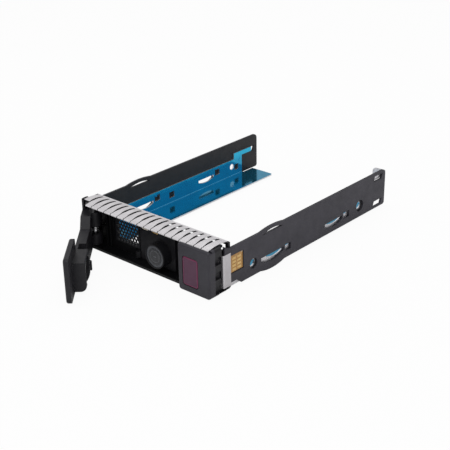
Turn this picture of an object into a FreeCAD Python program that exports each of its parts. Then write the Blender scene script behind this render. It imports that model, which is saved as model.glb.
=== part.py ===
"""Hot swap drive caddy for a 3.5 inch disk drive.

Millimetres. +X runs to the right of someone facing the bezel, +Y runs back into the bay
and +Z is up. The origin lies on the underside of the bezel, in the middle of its width and
in the plane of its front face. The lever stands open, and its joint closes it.
"""
import FreeCAD, Part
import math
import os

import Sketcher

# alias, value, what it is
SIZES = [
    # the drive and the fit round it
    ("drive_width", 101.6, "width of the drive the caddy carries"),
    ("drive_length", 147.0, "length of the drive"),
    ("drive_play", 0.2, "side play of the drive"),
    ("drive_gap", 0.7, "gap between the bezel and the drive"),
    ("drive_first_hole", 16.9, "first side hole behind the drive's front"),
    ("drive_hole_spacing", 101.6, "spacing of the two side holes"),
    ("drive_hole_height", 6.35, "side holes above the drive's base"),
    ("screw_hole_radius", 2.0, "drive screw hole in the bracket"),
    # side rails
    ("rail_thickness", 1.4, "thickness of a side rail"),
    ("rail_bottom", 1.6, "underside of a rail"),
    ("rail_top", 25.2, "top of a rail"),
    ("rail_back", 164.5, "rear end of the rails"),
    ("rail_back_top_radius", 3.0, "upper rear corner of a rail"),
    ("rail_back_low_radius", 1.5, "lower rear corner of a rail"),
    ("tongue_front", 12.0, "front of the tongues that lap the bezel"),
    ("tongue_top", 27.4, "top of the upper tongue"),
    ("tongue_low", 4.6, "underside of the lower tongue"),
    ("tongue_back", 18.0, "where the upper tongue meets the rail's top"),
    ("tongue_sweep", 9.4, "radius of the curve behind the upper tongue"),
    ("step_front", 21.9, "front of the step under the rail"),
    ("step_back", 25.1, "back of the step under the rail"),
    ("window_low", 9.7, "lower edge of the contact window"),
    ("window_high", 20.4, "upper edge of the contact window"),
    ("window_back", 27.2, "rear edge of the contact window"),
    ("bow_front", 41.3, "front of the sprung bows"),
    ("bow_length", 21.4, "length of a sprung bow"),
    ("bow_under", 1.6, "how far the lower bow reaches under the rail"),
    ("bow_over", 1.1, "how far the upper bow rises over the rail"),
    ("leaf_thickness", 1.8, "thickness of the upper sprung leaf"),
    ("leaf_slit", 1.6, "height of the slit under the upper leaf"),
    ("leaf_inset", 1.6, "how far the slit's ends lie inside the bow"),
    ("band_thickness", 2.9, "thickness of the lower bowed band"),
    ("crescent_height", 4.8, "height of a crescent opening"),
    ("crescent_end", 2.0, "height of a crescent's ends"),
    ("crescent_front_length", 20.0, "length of the front crescent"),
    ("crescent_rear_front", 101.2, "front of the rear crescent"),
    ("crescent_rear_length", 17.4, "length of the rear crescent"),
    ("slot_width", 5.2, "length of the small window behind a crescent"),
    ("slot_height", 4.2, "height of the small window behind a crescent"),
    ("slot_web", 1.3, "web between a crescent and its small window"),
    ("slot_low", 5.8, "lower edge of the small windows"),
    ("rear_slot_width", 6.2, "length of the rear small window"),
    ("rail_bore_radius", 2.6, "screw access bore in a rail"),
    ("rear_recess_radius", 3.7, "recess round the rear bore"),
    ("front_recess_radius", 3.1, "recess round the front bore"),
    ("recess_depth", 0.9, "depth of the recesses"),
    ("hook_slot_length", 8.8, "length of a hook slot near the rail's end"),
    ("hook_slot_height", 3.5, "height of a hook slot"),
    ("hook_slot_lean", 1.3, "lean of a hook slot's ends"),
    ("hook_slot_from_back", 12.9, "front of the hook slots before the rail's end"),
    ("hook_slot_top", 23.3, "top of the right rail's upper hook slot"),
    ("hook_slot_low", 2.9, "underside of the right rail's lower hook slot"),
    ("left_slot_low", 13.9, "underside of the left rail's hook slot"),
    # sheet brackets with their film
    ("sheet_thickness", 0.8, "thickness of the bracket sheet"),
    ("film_thickness", 0.15, "thickness of the insulating film"),
    ("bracket_wall_top", 13.7, "top of a bracket's wall"),
    ("bracket_wall_back", 147.4, "rear end of a bracket's wall"),
    ("bracket_back", 157.0, "rear end of a bracket's flange"),
    ("flange_width", 20.0, "width of a bracket's flange"),
    ("flange_corner", 0.8, "rear corner cut of a flange"),
    ("flange_inset", 2.2, "how far the flange steps in behind the wall"),
    ("riser_width", 8.0, "width of the riser at the bracket's rear"),
    ("finger_length", 9.9, "length of the finger behind the riser"),
    ("finger_height", 3.0, "height of the finger"),
    ("finger_lap", 0.4, "how far the left finger reaches over its slot"),
    ("stop_gap", 0.3, "gap between the drive and its rear stop"),
    ("stop_width", 9.0, "width of the drive's rear stop"),
    ("stop_height", 5.0, "height of the drive's rear stop"),
    ("stop_corner", 2.4, "upper corner of the drive's rear stop"),
    ("hatch_size", 4.6, "length of the square openings in the wall"),
    ("hatch_height", 4.0, "height of the square openings in the wall"),
    ("hatch_gap", 13.0, "distance from the first hatch to the next"),
    ("opening_drop", 0.2, "top of the bracket's crescents below the rail's"),
    ("opening_height", 3.1, "height of the bracket's crescents"),
    ("opening_end", 1.6, "height of their ends"),
    ("opening_inset", 6.0, "front of the bracket's first crescent behind the rail's"),
    ("rivet_radius", 0.7, "shank radius of a rivet"),
    ("rivet_head_radius", 1.2, "head radius of a rivet"),
    ("rivet_head", 0.15, "head height of a rivet"),
    ("rivet_height", 12.0, "height of the rivets' line"),
    ("rivet_bite", 1.1, "how far a rivet reaches into the rail"),
    ("rivet_first", 64.4, "first rivet"),
    ("rivet_second", 98.4, "second rivet"),
    ("rivet_third", 129.6, "third rivet"),
    ("rivet_last", 145.6, "last rivet"),
    # bezel frame
    ("cheek_step", 0.55, "how far a rail stands out from the bezel"),
    ("bezel_height", 28.0, "height of the bezel"),
    ("bezel_depth", 17.9, "depth of the bezel frame"),
    ("setback", 4.0, "how far the lever's recess lies behind the front"),
    ("block_width", 22.8, "width of the button block"),
    ("block_depth", 13.4, "depth of the button block"),
    ("wall", 1.6, "side and rear walls of the bezel"),
    ("floor_thickness", 1.5, "floor of the bezel"),
    ("roof_thickness", 1.4, "roof of the bezel"),
    ("front_wall", 1.8, "front wall of the button block"),
    ("corner_radius", 1.8, "corners of the button block"),
    ("floor_corner", 5.0, "rounded front corner of the floor beside the pivot"),
    ("edge_radius", 1.2, "front edges of the button block and the lever's face"),
    ("cheek_depth", 4.9, "solid part of the block's right cheek"),
    ("tooth_reach", 9.5, "how far back the cheek's teeth reach"),
    ("tooth_low", 6.0, "underside of the lower tooth"),
    ("tooth_height", 4.15, "height of a tooth"),
    ("tooth_pitch", 8.5, "pitch of the teeth"),
    ("cheek_top_bar", 23.0, "underside of the cheek's top bar"),
    ("cheek_back", 10.2, "rear end of the cheek's top bar"),
    ("heel_front", 8.0, "where the block's underside steps up"),
    ("heel_height", 1.0, "height of that step"),
    ("post_front", 14.2, "front of the posts that carry the rails"),
    ("post_thickness", 2.0, "thickness of the posts"),
    ("rear_wall_front", 11.8, "front of the recess's rear wall"),
    ("roof_open_front", 12.6, "front of the opening in the roof"),
    ("roof_open_left", 25.0, "opening in the roof to the left of the block"),
    ("pocket_width", 7.0, "rear wall's left end from the pivot"),
    ("rib_thickness", 1.0, "ribs in the recess"),
    ("rib_reach", 2.2, "how far the ribs stand out"),
    ("rib_pitch", 2.9, "pitch of the ribs"),
    ("groove_front", 1.5, "front of the groove for the curled fingers"),
    ("groove_depth", 1.2, "depth of that groove"),
    # vent grille
    ("grille_side", 7.8, "vent grille from the left end of the rear wall"),
    ("grille_gap", 1.2, "gap between the grille and the indicator panel"),
    ("grille_low", 6.9, "lower edge of the vent grille"),
    ("grille_headroom", 2.0, "gap between the vent grille and the roof"),
    ("grille_thickness", 0.9, "thickness of the vent grille"),
    ("grille_rim", 0.8, "rim of the grille that rests on the wall"),
    ("grille_margin", 1.0, "plain margin beside the vents"),
    ("vent_web", 0.5, "web between two vents"),
    ("vent_columns", 7, "vents in a row"),
    ("vent_rows", 4, "pairs of rows of vents"),
    # indicator
    ("indicator_offset", 21.8, "indicator's axis from the button block"),
    ("indicator_z", 10.6, "height of the indicator's axis"),
    ("boss_radius", 7.2, "radius of the indicator boss"),
    ("boss_bore", 6.5, "bore of the indicator boss"),
    ("panel_side", 10.0, "indicator panel to the right of the axis"),
    ("panel_headroom", 1.4, "gap between the indicator panel and the roof"),
    ("panel_thickness", 1.5, "thickness of the indicator panel"),
    ("panel_lift", 0.3, "gap under the indicator panel"),
    ("panel_slot_length", 5.0, "length of a slot near the panel's top"),
    ("panel_slot_pitch", 8.0, "pitch of the slots near the panel's top"),
    ("panel_slot_height", 1.5, "height of a slot near the panel's top"),
    ("ring_outer", 6.45, "outer radius of the ring light guide"),
    ("ring_inner", 5.0, "inner radius of the ring light guide"),
    ("ring_recess", 0.35, "how far the ring lies inside the boss"),
    ("disc_radius", 4.9, "radius of the indicator disc"),
    ("disc_recess", 0.2, "how far the disc lies inside the boss"),
    ("board_thickness", 1.0, "thickness of the light board"),
    ("board_size", 16.0, "width and height of the light board"),
    ("led_size", 1.6, "size of a lamp on the board"),
    ("led_height", 0.7, "height of a lamp on the board"),
    # contact flex
    ("flex_thickness", 0.3, "thickness of the contact flex"),
    ("flex_play", 0.3, "gap round the contact pad in its window"),
    ("flex_depth", 0.5, "contact pad behind the rail's outer face"),
    ("tail_height", 3.4, "height of the flex tail"),
    ("tail_inset", 1.0, "flex tail inside the frame's rear face"),
    # contact springs
    ("spring_sheet", 0.25, "sheet of the contact springs"),
    ("spring_side", 1.35, "top spring's ends inside the rails"),
    ("finger_count", 19, "fingers of the top spring"),
    ("spring_front", 2.0, "front of the top spring's fingers"),
    ("spring_inset", 0.3, "top spring's rear edge before the frame's rear face"),
    ("spring_band", 1.2, "rear band of the top spring"),
    ("bow_crest", 0.75, "rise of the fingers' bow"),
    ("bow_land", 3.6, "where a finger comes down again"),
    ("tip_radius", 0.9, "curl of a finger's tip"),
    ("cut_narrow", 0.6, "slit between the fingers' tips"),
    ("cut_wide", 1.7, "slit between the fingers' roots"),
    ("cut_change", 4.6, "where the slit widens"),
    ("cut_taper", 4.0, "length over which the slit widens"),
    ("first_finger_back", 6.2, "front of the short first finger"),
    ("clip_front", 10.6, "front of the side spring"),
    ("clip_length", 5.8, "length of the side spring"),
    ("clip_low", 3.2, "underside of the side spring"),
    ("clip_high", 22.6, "top of the side spring"),
    ("clip_hook", 1.6, "how far the side spring reaches in"),
    ("clip_bend", 0.8, "bend of the side spring"),
    # lever
    ("pivot_inset", 7.8, "lever's pivot from the bezel's left side"),
    ("pivot_y", 8.0, "lever's pivot behind the front"),
    ("open_angle", 48.0, "how far the lever stands open"),
    ("pin_radius", 1.2, "radius of the pivot pin"),
    ("pin_clearance", 0.05, "running clearance of the lever on its pin"),
    ("pin_seat", 1.1, "how deep the pin sits in floor and roof"),
    ("knuckle_radius", 4.2, "radius of the lever's knuckles"),
    ("hub_radius", 7.4, "outer radius of the lever's hub"),
    ("hub_low", 2.0, "underside of the hub"),
    ("hub_top", 22.5, "top of the hub"),
    ("fin_rise", 1.0, "top of the hub's fin above the bezel's top"),
    ("fin_inner", 6.2, "inner radius of the hub's fin"),
    ("fin_from", 212, "where the hub's fin starts, round the pivot"),
    ("fin_to", 250, "where the hub's fin ends, round the pivot"),
    ("ear_radius", 4.4, "radius of the ears round the pin"),
    ("coil_gap_low", 8.6, "lower end of the gap for the coil"),
    ("coil_gap_high", 13.6, "upper end of the gap for the coil"),
    ("coil_gap_radius", 5.2, "radius of the gap for the coil"),
    ("coil_radius", 2.3, "mean radius of the return coil"),
    ("coil_wire", 0.4, "wire radius of the return coil"),
    ("coil_pitch", 1.0, "pitch of the return coil"),
    ("coil_turns", 3, "turns of the return coil"),
    ("arm_depth", 6.9, "depth of the lever's arm"),
    ("arm_top", 17.0, "top of the lever's arm"),
    ("arm_shoulder", 14.0, "where the arm's top comes down from the hub"),
    ("arm_gap", 4.2, "end of the full arm before the hook"),
    ("face_thickness", 3.0, "thickness of the lever's face"),
    ("face_low", 0.8, "underside of the lever's face plate"),
    ("face_drop", 1.1, "top of the lever's face plate below the bezel's top"),
    ("plate_length", 27.6, "length of the tall face plate"),
    ("plate_gap", 1.4, "gap between the face plate and the button block"),
    ("plate_corner", 2.0, "corners of the face plate"),
    ("shroud_half", 8.6, "half width and half height of the light shroud"),
    ("shroud_heel", 3.6, "lower rear edge of the light shroud"),
    ("shroud_brow", 1.2, "upper rear edge of the light shroud"),
    ("shroud_bore", 8.0, "bore of the light shroud"),
    ("shroud_back", 9.8, "rear end of the light shroud when closed"),
    ("lens_radius", 5.2, "radius of the lever's ring lens"),
    ("lens_hole", 2.6, "hole of the lever's ring lens"),
    ("lens_clearance", 0.05, "gap round the lens"),
    ("hook_offset", 8.8, "hook's stem before the face plate"),
    ("hook_stem", 1.8, "thickness of the hook's stem"),
    ("hook_barb", 1.2, "reach of the hook's barb"),
    ("hook_low", 3.2, "underside of the hook"),
    ("hook_high", 8.4, "top of the hook"),
    ("hook_back", 9.9, "rear end of the hook when closed"),
    ("catch_clearance", 0.35, "gap between the hook's path and the catch"),
    # release button and latch slide
    ("button_inset", 3.7, "left edge of the button from the block's side"),
    ("button_width", 10.8, "width of the release button"),
    ("button_low", 4.2, "lower edge of the release button"),
    ("button_height", 16.7, "height of the release button"),
    ("button_radius", 1.5, "corners of the release button"),
    ("button_edge", 0.4, "rounded front edge of the button"),
    ("button_depth", 5.6, "depth of the button's cap"),
    ("button_clearance", 0.35, "gap round the button"),
    ("button_travel", 2.0, "travel of the button"),
    ("button_rim", 1.2, "rim that keeps the button in"),
    ("rim_gap", 0.3, "gap between the rim and the front wall"),
    ("rim_thickness", 1.2, "thickness of that rim"),
    ("cam_width", 3.5, "width of the button's cam finger"),
    ("cam_back", 14.9, "rear end of the cam finger"),
    ("cam_gap", 0.5, "gap of the cam faces measured across"),
    ("slide_front", 13.8, "front of the latch slide"),
    ("slide_thickness", 1.9, "thickness of the latch slide"),
    ("slide_low", 2.1, "underside of the latch slide"),
    ("slide_high", 6.1, "top of the latch slide"),
    ("slide_tail", 7.85, "latch slide to the left of the catch's right side"),
    ("catch_width", 3.2, "width of the catch"),
    ("catch_front", 8.3, "front of the catch"),
    ("catch_play", 0.35, "gap round the catch in the wall"),
    ("guide_width", 2.4, "width of a slide guide"),
    ("guide_play", 0.3, "gap round the slide in its guides"),
    ("guide_wall", 1.1, "wall of a slide guide"),
    ("guide_offset", 12.75, "left slide guide from the catch"),
    ("guide_inset", 6.0, "right slide guide from the button block"),
    ("leaf_spring_sheet", 0.3, "sheet of the return leaves"),
    ("stop_distance", 7.4, "stop for the latch spring from the slide"),
]

doc = FreeCAD.newDocument("drive_caddy")
sheet = doc.addObject("Spreadsheet::Sheet", "Sizes")


class Size:
    """A number that keeps the sheet formula it comes from."""

    def __init__(self, value, text):
        self.value = float(value)
        self.text = text

    def _with(self, other, sign, turned=False):
        other = other if isinstance(other, Size) else Size(other, repr(other))
        left, right = (other, self) if turned else (self, other)
        results = {
            "+": lambda: left.value + right.value,
            "-": lambda: left.value - right.value,
            "*": lambda: left.value * right.value,
            "/": lambda: left.value / right.value,
        }
        return Size(results[sign](), f"({left.text} {sign} {right.text})")

    def __add__(self, other):
        return self._with(other, "+")

    def __radd__(self, other):
        return self._with(other, "+", turned=True)

    def __sub__(self, other):
        return self._with(other, "-")

    def __rsub__(self, other):
        return self._with(other, "-", turned=True)

    def __mul__(self, other):
        return self._with(other, "*")

    def __rmul__(self, other):
        return self._with(other, "*", turned=True)

    def __truediv__(self, other):
        return self._with(other, "/")

    def __neg__(self):
        return Size(-self.value, f"(-{self.text})")


class Named:
    """Every size of the sheet, by its alias."""


def fill_sheet():
    named = Named()
    for row, (alias, value, note) in enumerate(SIZES, start=1):
        sheet.set(f"A{row}", note)
        sheet.set(f"B{row}", str(value))
        sheet.setAlias(f"B{row}", alias)
        setattr(named, alias, Size(value, f"Sizes.{alias}"))
    doc.recompute()
    return named


z = fill_sheet()


def number(value):
    return value.value if isinstance(value, Size) else float(value)


def bind(thing, name, value):
    """Give a property its value, and its formula where it has one."""
    if isinstance(value, Size):
        thing.setExpression(name, value.text)


def sine(angle):
    return Size(math.sin(math.radians(angle.value)), f"sin({angle.text})")


def cosine(angle):
    return Size(math.cos(math.radians(angle.value)), f"cos({angle.text})")


def bow_radius(length, rise):
    """Radius of the arc with this chord and this rise."""
    return (length * length / 4 + rise * rise) / (2 * rise)


# places that several pieces share
ZERO = Size(0, "0")
HEX_TIP = 2 / math.sqrt(3)
TOUCH = 0.01
bracket_inner = z.drive_width / 2 + z.drive_play + z.film_thickness
rail_inner = bracket_inner + z.sheet_thickness
rail_outer = rail_inner + z.rail_thickness
film_inner = bracket_inner - z.film_thickness
half_width = rail_outer - z.cheek_step
rivet_places = (z.rivet_first, z.rivet_second, z.rivet_third, z.rivet_last)
drive_front = z.bezel_depth + z.drive_gap
bracket_front = z.bezel_depth + z.drive_gap / 2
seat_height = z.rail_bottom + z.sheet_thickness + z.film_thickness
hole_height = seat_height + z.drive_hole_height
front_hole = drive_front + z.drive_first_hole
rear_hole = front_hole + z.drive_hole_spacing
roof_low = z.bezel_height - z.roof_thickness
block_left = half_width - z.block_width
rear_wall_back = z.rear_wall_front + z.wall
bow_back = z.bow_front + z.bow_length
bow_middle = z.bow_front + z.bow_length / 2
crescent_top = z.rail_bottom + z.band_thickness + z.crescent_height
crescent_front = bow_middle - z.crescent_front_length / 2
hook_slot_front = z.rail_back - z.hook_slot_from_back
finger_end = z.bracket_wall_back + z.finger_length
stop_front = drive_front + z.drive_length + z.stop_gap
boss_front = z.setback
pivot_x = z.pivot_inset - half_width
plate_end = block_left - z.plate_gap - pivot_x
plate_start = plate_end - z.plate_length
hook_start = plate_start - z.hook_offset
arm_end = hook_start - z.arm_gap
catch_right = pivot_x + hook_start - z.hook_barb - z.catch_clearance
slide_left = catch_right - z.slide_tail
latch_stop_x = slide_left - z.stop_distance
guide_left_x = catch_right + z.guide_offset
guide_right_x = block_left - z.guide_inset
wall_left = pivot_x + z.pocket_width
indicator_x = block_left - z.indicator_offset
tail_high = z.indicator_z + z.board_size / 2
tail_low = tail_high - z.tail_height
tail_back = z.bezel_depth - z.tail_inset
spring_back = z.bezel_depth - z.spring_inset
face_top = z.bezel_height - z.face_drop
fin_top = z.bezel_height + z.fin_rise
panel_left = catch_right + z.catch_play
panel_right = indicator_x + z.panel_side
panel_top = roof_low - z.panel_headroom
grille_left = wall_left + z.grille_side
grille_right = panel_left - z.grille_gap
grille_high = roof_low - z.grille_headroom
vent_pitch = (grille_right - grille_left - 2 * z.grille_rim - 2 * z.grille_margin) / (
    z.vent_columns)
vent_size = vent_pitch - z.vent_web
button_left = block_left + z.button_inset
button_right = button_left + z.button_width
button_high = z.button_low + z.button_height
spring_left = z.spring_side - rail_inner
finger_pitch = (z.cut_narrow - 2 * spring_left) / z.finger_count


# ---- outlines: lists of corners (x, y), or (x, y, radius) where an arc arrives; a positive
# radius turns left and a negative one turns right


def box(x0, y0, x1, y1):
    return [(x0, y0), (x1, y0), (x1, y1), (x0, y1)]


def rounded(x0, y0, x1, y1, radius):
    return [
        (x0 + radius, y0), (x1 - radius, y0), (x1, y0 + radius, radius), (x1, y1 - radius),
        (x1 - radius, y1, radius), (x0 + radius, y1), (x0, y1 - radius, radius),
        (x0, y0 + radius), (x0 + radius, y0, radius),
    ][:-1] + [("close", radius)]


def disc(x, y, radius):
    return [("disc", x, y, radius)]


def arc_between(start, end, radius):
    """Circle arc from start to end, turning left for a positive radius."""
    a = FreeCAD.Vector(start[0], start[1], 0)
    b = FreeCAD.Vector(end[0], end[1], 0)
    chord = b.sub(a)
    rise = math.sqrt(max(radius * radius - chord.Length ** 2 / 4, 0.0))
    normal = FreeCAD.Vector(-chord.y, chord.x, 0)
    normal.normalize()
    centre = (a + b) * 0.5 + normal * math.copysign(rise, radius)
    first, last = (a, b) if radius > 0 else (b, a)
    angles = [math.atan2(p.y - centre.y, p.x - centre.x) for p in (first, last)]
    if angles[1] <= angles[0]:
        angles[1] += 2 * math.pi
    circle = Part.Circle(centre, FreeCAD.Vector(0, 0, 1), abs(radius))
    return Part.ArcOfCircle(circle, angles[0], angles[1])


def add_loop(sketch, outline, bound):
    """Draw one closed outline; bound collects (constraint, value) pairs."""
    if outline[0][0] == "disc":
        _, x, y, radius = outline[0]
        centre = FreeCAD.Vector(number(x), number(y), 0)
        index = sketch.addGeometry(
            Part.Circle(centre, FreeCAD.Vector(0, 0, 1), number(radius)), False)
        bound.append((("DistanceX", -1, 1, index, 3), x))
        bound.append((("DistanceY", -1, 1, index, 3), y))
        bound.append((("Radius", index), radius))
        return
    closing = outline[-1][1] if outline[-1][0] == "close" else None
    corners = outline[:-1] if closing is not None else outline
    first = sketch.GeometryCount
    ends = []
    for place, corner in enumerate(corners):
        following = corners[(place + 1) % len(corners)]
        last = place == len(corners) - 1
        radius = closing if last else (following[2] if len(following) == 3 else None)
        start = (number(corner[0]), number(corner[1]))
        end = (number(following[0]), number(following[1]))
        if radius is None:
            line = Part.LineSegment(FreeCAD.Vector(*start, 0), FreeCAD.Vector(*end, 0))
            sketch.addGeometry(line, False)
            ends.append((1, 2))
        else:
            sketch.addGeometry(arc_between(start, end, number(radius)), False)
            left = number(radius) > 0
            ends.append((1, 2) if left else (2, 1))
            bound.append((("Radius", first + place), radius if left else -radius))
    for place, corner in enumerate(corners):
        before = place - 1 if place else len(corners) - 1
        sketch.addConstraint(Sketcher.Constraint(
            "Coincident", first + before, ends[before][1], first + place, ends[place][0]))
        bound.append((("DistanceX", -1, 1, first + place, ends[place][0]), corner[0]))
        bound.append((("DistanceY", -1, 1, first + place, ends[place][0]), corner[1]))


PLANES = {"top": ("XY_Plane", 1), "side": ("YZ_Plane", 1), "front": ("XZ_Plane", -1)}


def sketch_on(body, name, plane, offset, outlines):
    """Sketch of closed outlines, parallel to one of the body's own planes."""
    role = PLANES[plane][0]
    planes = {item.Role: item for item in body.Origin.OriginFeatures}
    sketch = body.newObject("Sketcher::SketchObject", name)
    sketch.AttachmentSupport = [(planes[role], "")]
    sketch.MapMode = "FlatFace"
    sketch.AttachmentOffset = FreeCAD.Placement(
        FreeCAD.Vector(0, 0, number(offset)), FreeCAD.Rotation())
    bind(sketch, "AttachmentOffset.Base.z", offset)
    bound = []
    for outline in outlines:
        add_loop(sketch, outline, bound)
    for key, value in bound:
        index = sketch.addConstraint(Sketcher.Constraint(*key, number(value)))
        bind(sketch, f"Constraints[{index}]", value)
    return sketch


def pad(body, name, plane, outlines, low, high):
    """Add the outlines between two heights along the plane's axis."""
    offset = -high if plane == "front" else low
    feature = body.newObject("PartDesign::Pad", name)
    feature.Profile = sketch_on(body, f"{name}_sketch", plane, offset, outlines)
    feature.Length = number(high - low)
    bind(feature, "Length", high - low)
    body.Tip = feature
    return feature


def cut(body, name, plane, outlines, low, high):
    """Take the outlines away between two heights along the plane's axis."""
    offset = -low if plane == "front" else high
    feature = body.newObject("PartDesign::Pocket", name)
    feature.Profile = sketch_on(body, f"{name}_sketch", plane, offset, outlines)
    feature.Length = number(high - low)
    bind(feature, "Length", high - low)
    body.Tip = feature
    return feature


def repeat(body, name, features, axis, pitch, count):
    """Repeat features along one of the body's own axes."""
    axes = {item.Role: item for item in body.Origin.OriginFeatures}
    pattern = body.newObject("PartDesign::LinearPattern", name)
    pattern.Originals = features
    pattern.Direction = (axes[axis], [""])
    pattern.Mode = "Spacing"
    pattern.Offset = number(pitch)
    bind(pattern, "Offset", pitch)
    pattern.Occurrences = int(number(count))
    bind(pattern, "Occurrences", count)
    body.Tip = pattern
    return pattern


def soften(body, name, radius, wanted):
    """Round the edges whose middle the test accepts."""
    doc.recompute()
    base = body.Tip
    edges = [f"Edge{number_}" for number_, edge in enumerate(base.Shape.Edges, start=1)
             if wanted(edge)]
    fillet = body.newObject("PartDesign::Fillet", name)
    fillet.Base = (base, edges)
    fillet.Radius = number(radius)
    bind(fillet, "Radius", radius)
    body.Tip = fillet
    return fillet


def new_body(name):
    body = doc.addObject("PartDesign::Body", name)
    body.Label = name
    return body


def on_lever(body):
    """Turn a piece drawn about the pivot, with the lever closed, to the open position."""
    body.Placement = FreeCAD.Placement(
        FreeCAD.Vector(pivot_x.value, z.pivot_y.value, 0),
        FreeCAD.Rotation(FreeCAD.Vector(0, 0, -1), z.open_angle.value))
    bind(body, "Placement.Base.x", pivot_x)
    bind(body, "Placement.Base.y", z.pivot_y)
    bind(body, "Placement.Rotation.Angle", z.open_angle)


def sides(side, inner, outer):
    """Low and high x of a layer that lies between two distances from the middle."""
    return (inner, outer) if side > 0 else (-outer, -inner)


# ---- side rails and sheet brackets


def crescent(front, length, top, height, end):
    """Opening with a straight top, upright ends and a bowed underside."""
    radius = bow_radius(length, height - end)
    return [(front, top), (front, top - end), (front + length, top - end, radius),
            (front + length, top)]


def lens(front, length, low, height):
    """Thin slit with a straight underside and a bowed top."""
    return [(front, low), (front + length, low), ("close", bow_radius(length, height))]


def leaning_slot(low):
    front = hook_slot_front
    return [
        (front, low), (front + z.hook_slot_length, low),
        (front + z.hook_slot_length + z.hook_slot_lean, low + z.hook_slot_height),
        (front + z.hook_slot_lean, low + z.hook_slot_height),
    ]


def rail_outline():
    under = bow_radius(z.bow_length, z.bow_under)
    over = bow_radius(z.bow_length, z.bow_over)
    low, top, back = z.rail_bottom, z.rail_top, z.rail_back
    return [
        (z.tongue_front, z.tongue_low), (z.step_front, z.tongue_low), (z.step_back, low),
        (z.bow_front, low), (bow_back, low, under),
        (back - z.rail_back_low_radius, low),
        (back, low + z.rail_back_low_radius, z.rail_back_low_radius),
        (back, top - z.rail_back_top_radius),
        (back - z.rail_back_top_radius, top, z.rail_back_top_radius),
        (bow_back, top), (z.bow_front, top, over), (z.tongue_back, top),
        (z.tongue_front, z.tongue_top, -z.tongue_sweep),
        (z.tongue_front, z.window_high), (z.window_back, z.window_high),
        (z.window_back, z.window_low), (z.tongue_front, z.window_low),
    ]


def rail(name, side, hook_slots, windows):
    body = new_body(name)
    low, high = sides(side, rail_inner, rail_outer)
    pad(body, f"{name}_plate", "side", [rail_outline()], low, high)
    slit_low = z.rail_top + z.bow_over - z.leaf_thickness - z.leaf_slit
    rear_crescent_top = crescent_top - z.bow_over / 2
    openings = [
        crescent(crescent_front, z.crescent_front_length, crescent_top, z.crescent_height,
                 z.crescent_end),
        lens(z.bow_front + z.leaf_inset, z.bow_length - 2 * z.leaf_inset, slit_low,
             z.leaf_slit),
        crescent(z.crescent_rear_front, z.crescent_rear_length, rear_crescent_top,
                 z.crescent_height - z.bow_over / 2, z.crescent_end),
        disc(front_hole, hole_height, z.rail_bore_radius),
        disc(rear_hole, hole_height, z.rail_bore_radius),
    ]
    openings += [leaning_slot(slot) for slot in hook_slots]
    openings += [box(front, z.slot_low, front + length, z.slot_low + z.slot_height)
                 for front, length in windows]
    cut(body, f"{name}_openings", "side", openings, low, high)
    recess = sides(side, rail_outer - z.recess_depth, rail_outer)
    rings = [disc(front_hole, hole_height, z.front_recess_radius),
             disc(rear_hole, hole_height, z.rear_recess_radius)]
    cut(body, f"{name}_recesses", "side", rings, *recess)
    blind = sides(side, rail_inner, rail_inner + z.rivet_bite)
    shanks = [disc(place, z.rivet_height, z.rivet_radius)
              for place in rivet_places]
    cut(body, f"{name}_rivet_holes", "side", shanks, *blind)


def bracket_openings():
    """Openings through the bracket's wall and the film on it."""
    first_hatch = crescent_front + z.crescent_front_length + z.slot_web
    rear_front = z.crescent_rear_front
    rear_hatch = rear_front + z.crescent_rear_length + z.slot_web
    lone_hatch = first_hatch + z.hatch_gap
    hatch_low = z.slot_low + z.hatch_height / 2
    top = crescent_top - z.opening_drop
    inset = z.opening_inset
    rear_inset = 2 * z.slot_web
    hole_hatch = rear_hole + z.screw_hole_radius + z.slot_web / 2
    openings = [
        crescent(crescent_front + inset, z.crescent_front_length - inset, top,
                 z.opening_height, z.opening_end),
        crescent(rear_front + rear_inset, z.crescent_rear_length - rear_inset, top,
                 z.opening_height, z.opening_end),
        disc(front_hole, hole_height, z.screw_hole_radius),
        disc(rear_hole, hole_height, z.screw_hole_radius),
        box(hole_hatch, z.slot_low, hole_hatch + z.hatch_height,
            z.slot_low + z.hatch_height),
    ]
    for front, low in ((first_hatch, hatch_low), (lone_hatch, z.slot_low),
                       (rear_hatch, hatch_low)):
        openings.append(box(front, low, front + z.hatch_size, low + z.hatch_height))
    return openings


def bracket_wall(low, finger_low, finger_end):
    """Wall of a bracket with the riser and finger at its rear end."""
    riser = z.bracket_wall_back - z.riser_width
    return [
        (bracket_front, low), (z.bracket_wall_back, low),
        (z.bracket_wall_back, finger_low), (finger_end, finger_low),
        (finger_end, finger_low + z.finger_height), (riser, finger_low + z.finger_height),
        (riser, z.bracket_wall_top), (bracket_front, z.bracket_wall_top),
    ]


def flange_outline(side, outer):
    inner = rail_inner - z.flange_width
    stepped = rail_inner - z.flange_inset
    wall_back, back, corner = z.bracket_wall_back, z.bracket_back, z.flange_corner
    points = [
        (inner, bracket_front), (outer, bracket_front), (outer, wall_back),
        (stepped, wall_back), (stepped, back), (inner + corner, back),
        (inner, back - corner),
    ]
    if side > 0:
        return points
    return [(-x, y) for x, y in reversed(points)]


def bracket(name, side, finger_low, finger_end):
    body = new_body(name)
    low, high = sides(side, bracket_inner, rail_inner)
    wall = bracket_wall(z.rail_bottom, finger_low, finger_end)
    pad(body, f"{name}_wall", "side", [wall], low, high)
    flange = flange_outline(side, rail_inner)
    pad(body, f"{name}_flange", "top", [flange], z.rail_bottom,
        z.rail_bottom + z.sheet_thickness)
    shanks = [disc(place, z.rivet_height, z.rivet_radius) for place in rivet_places]
    cut(body, f"{name}_openings", "side", bracket_openings() + shanks, low, high)
    return body


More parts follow.
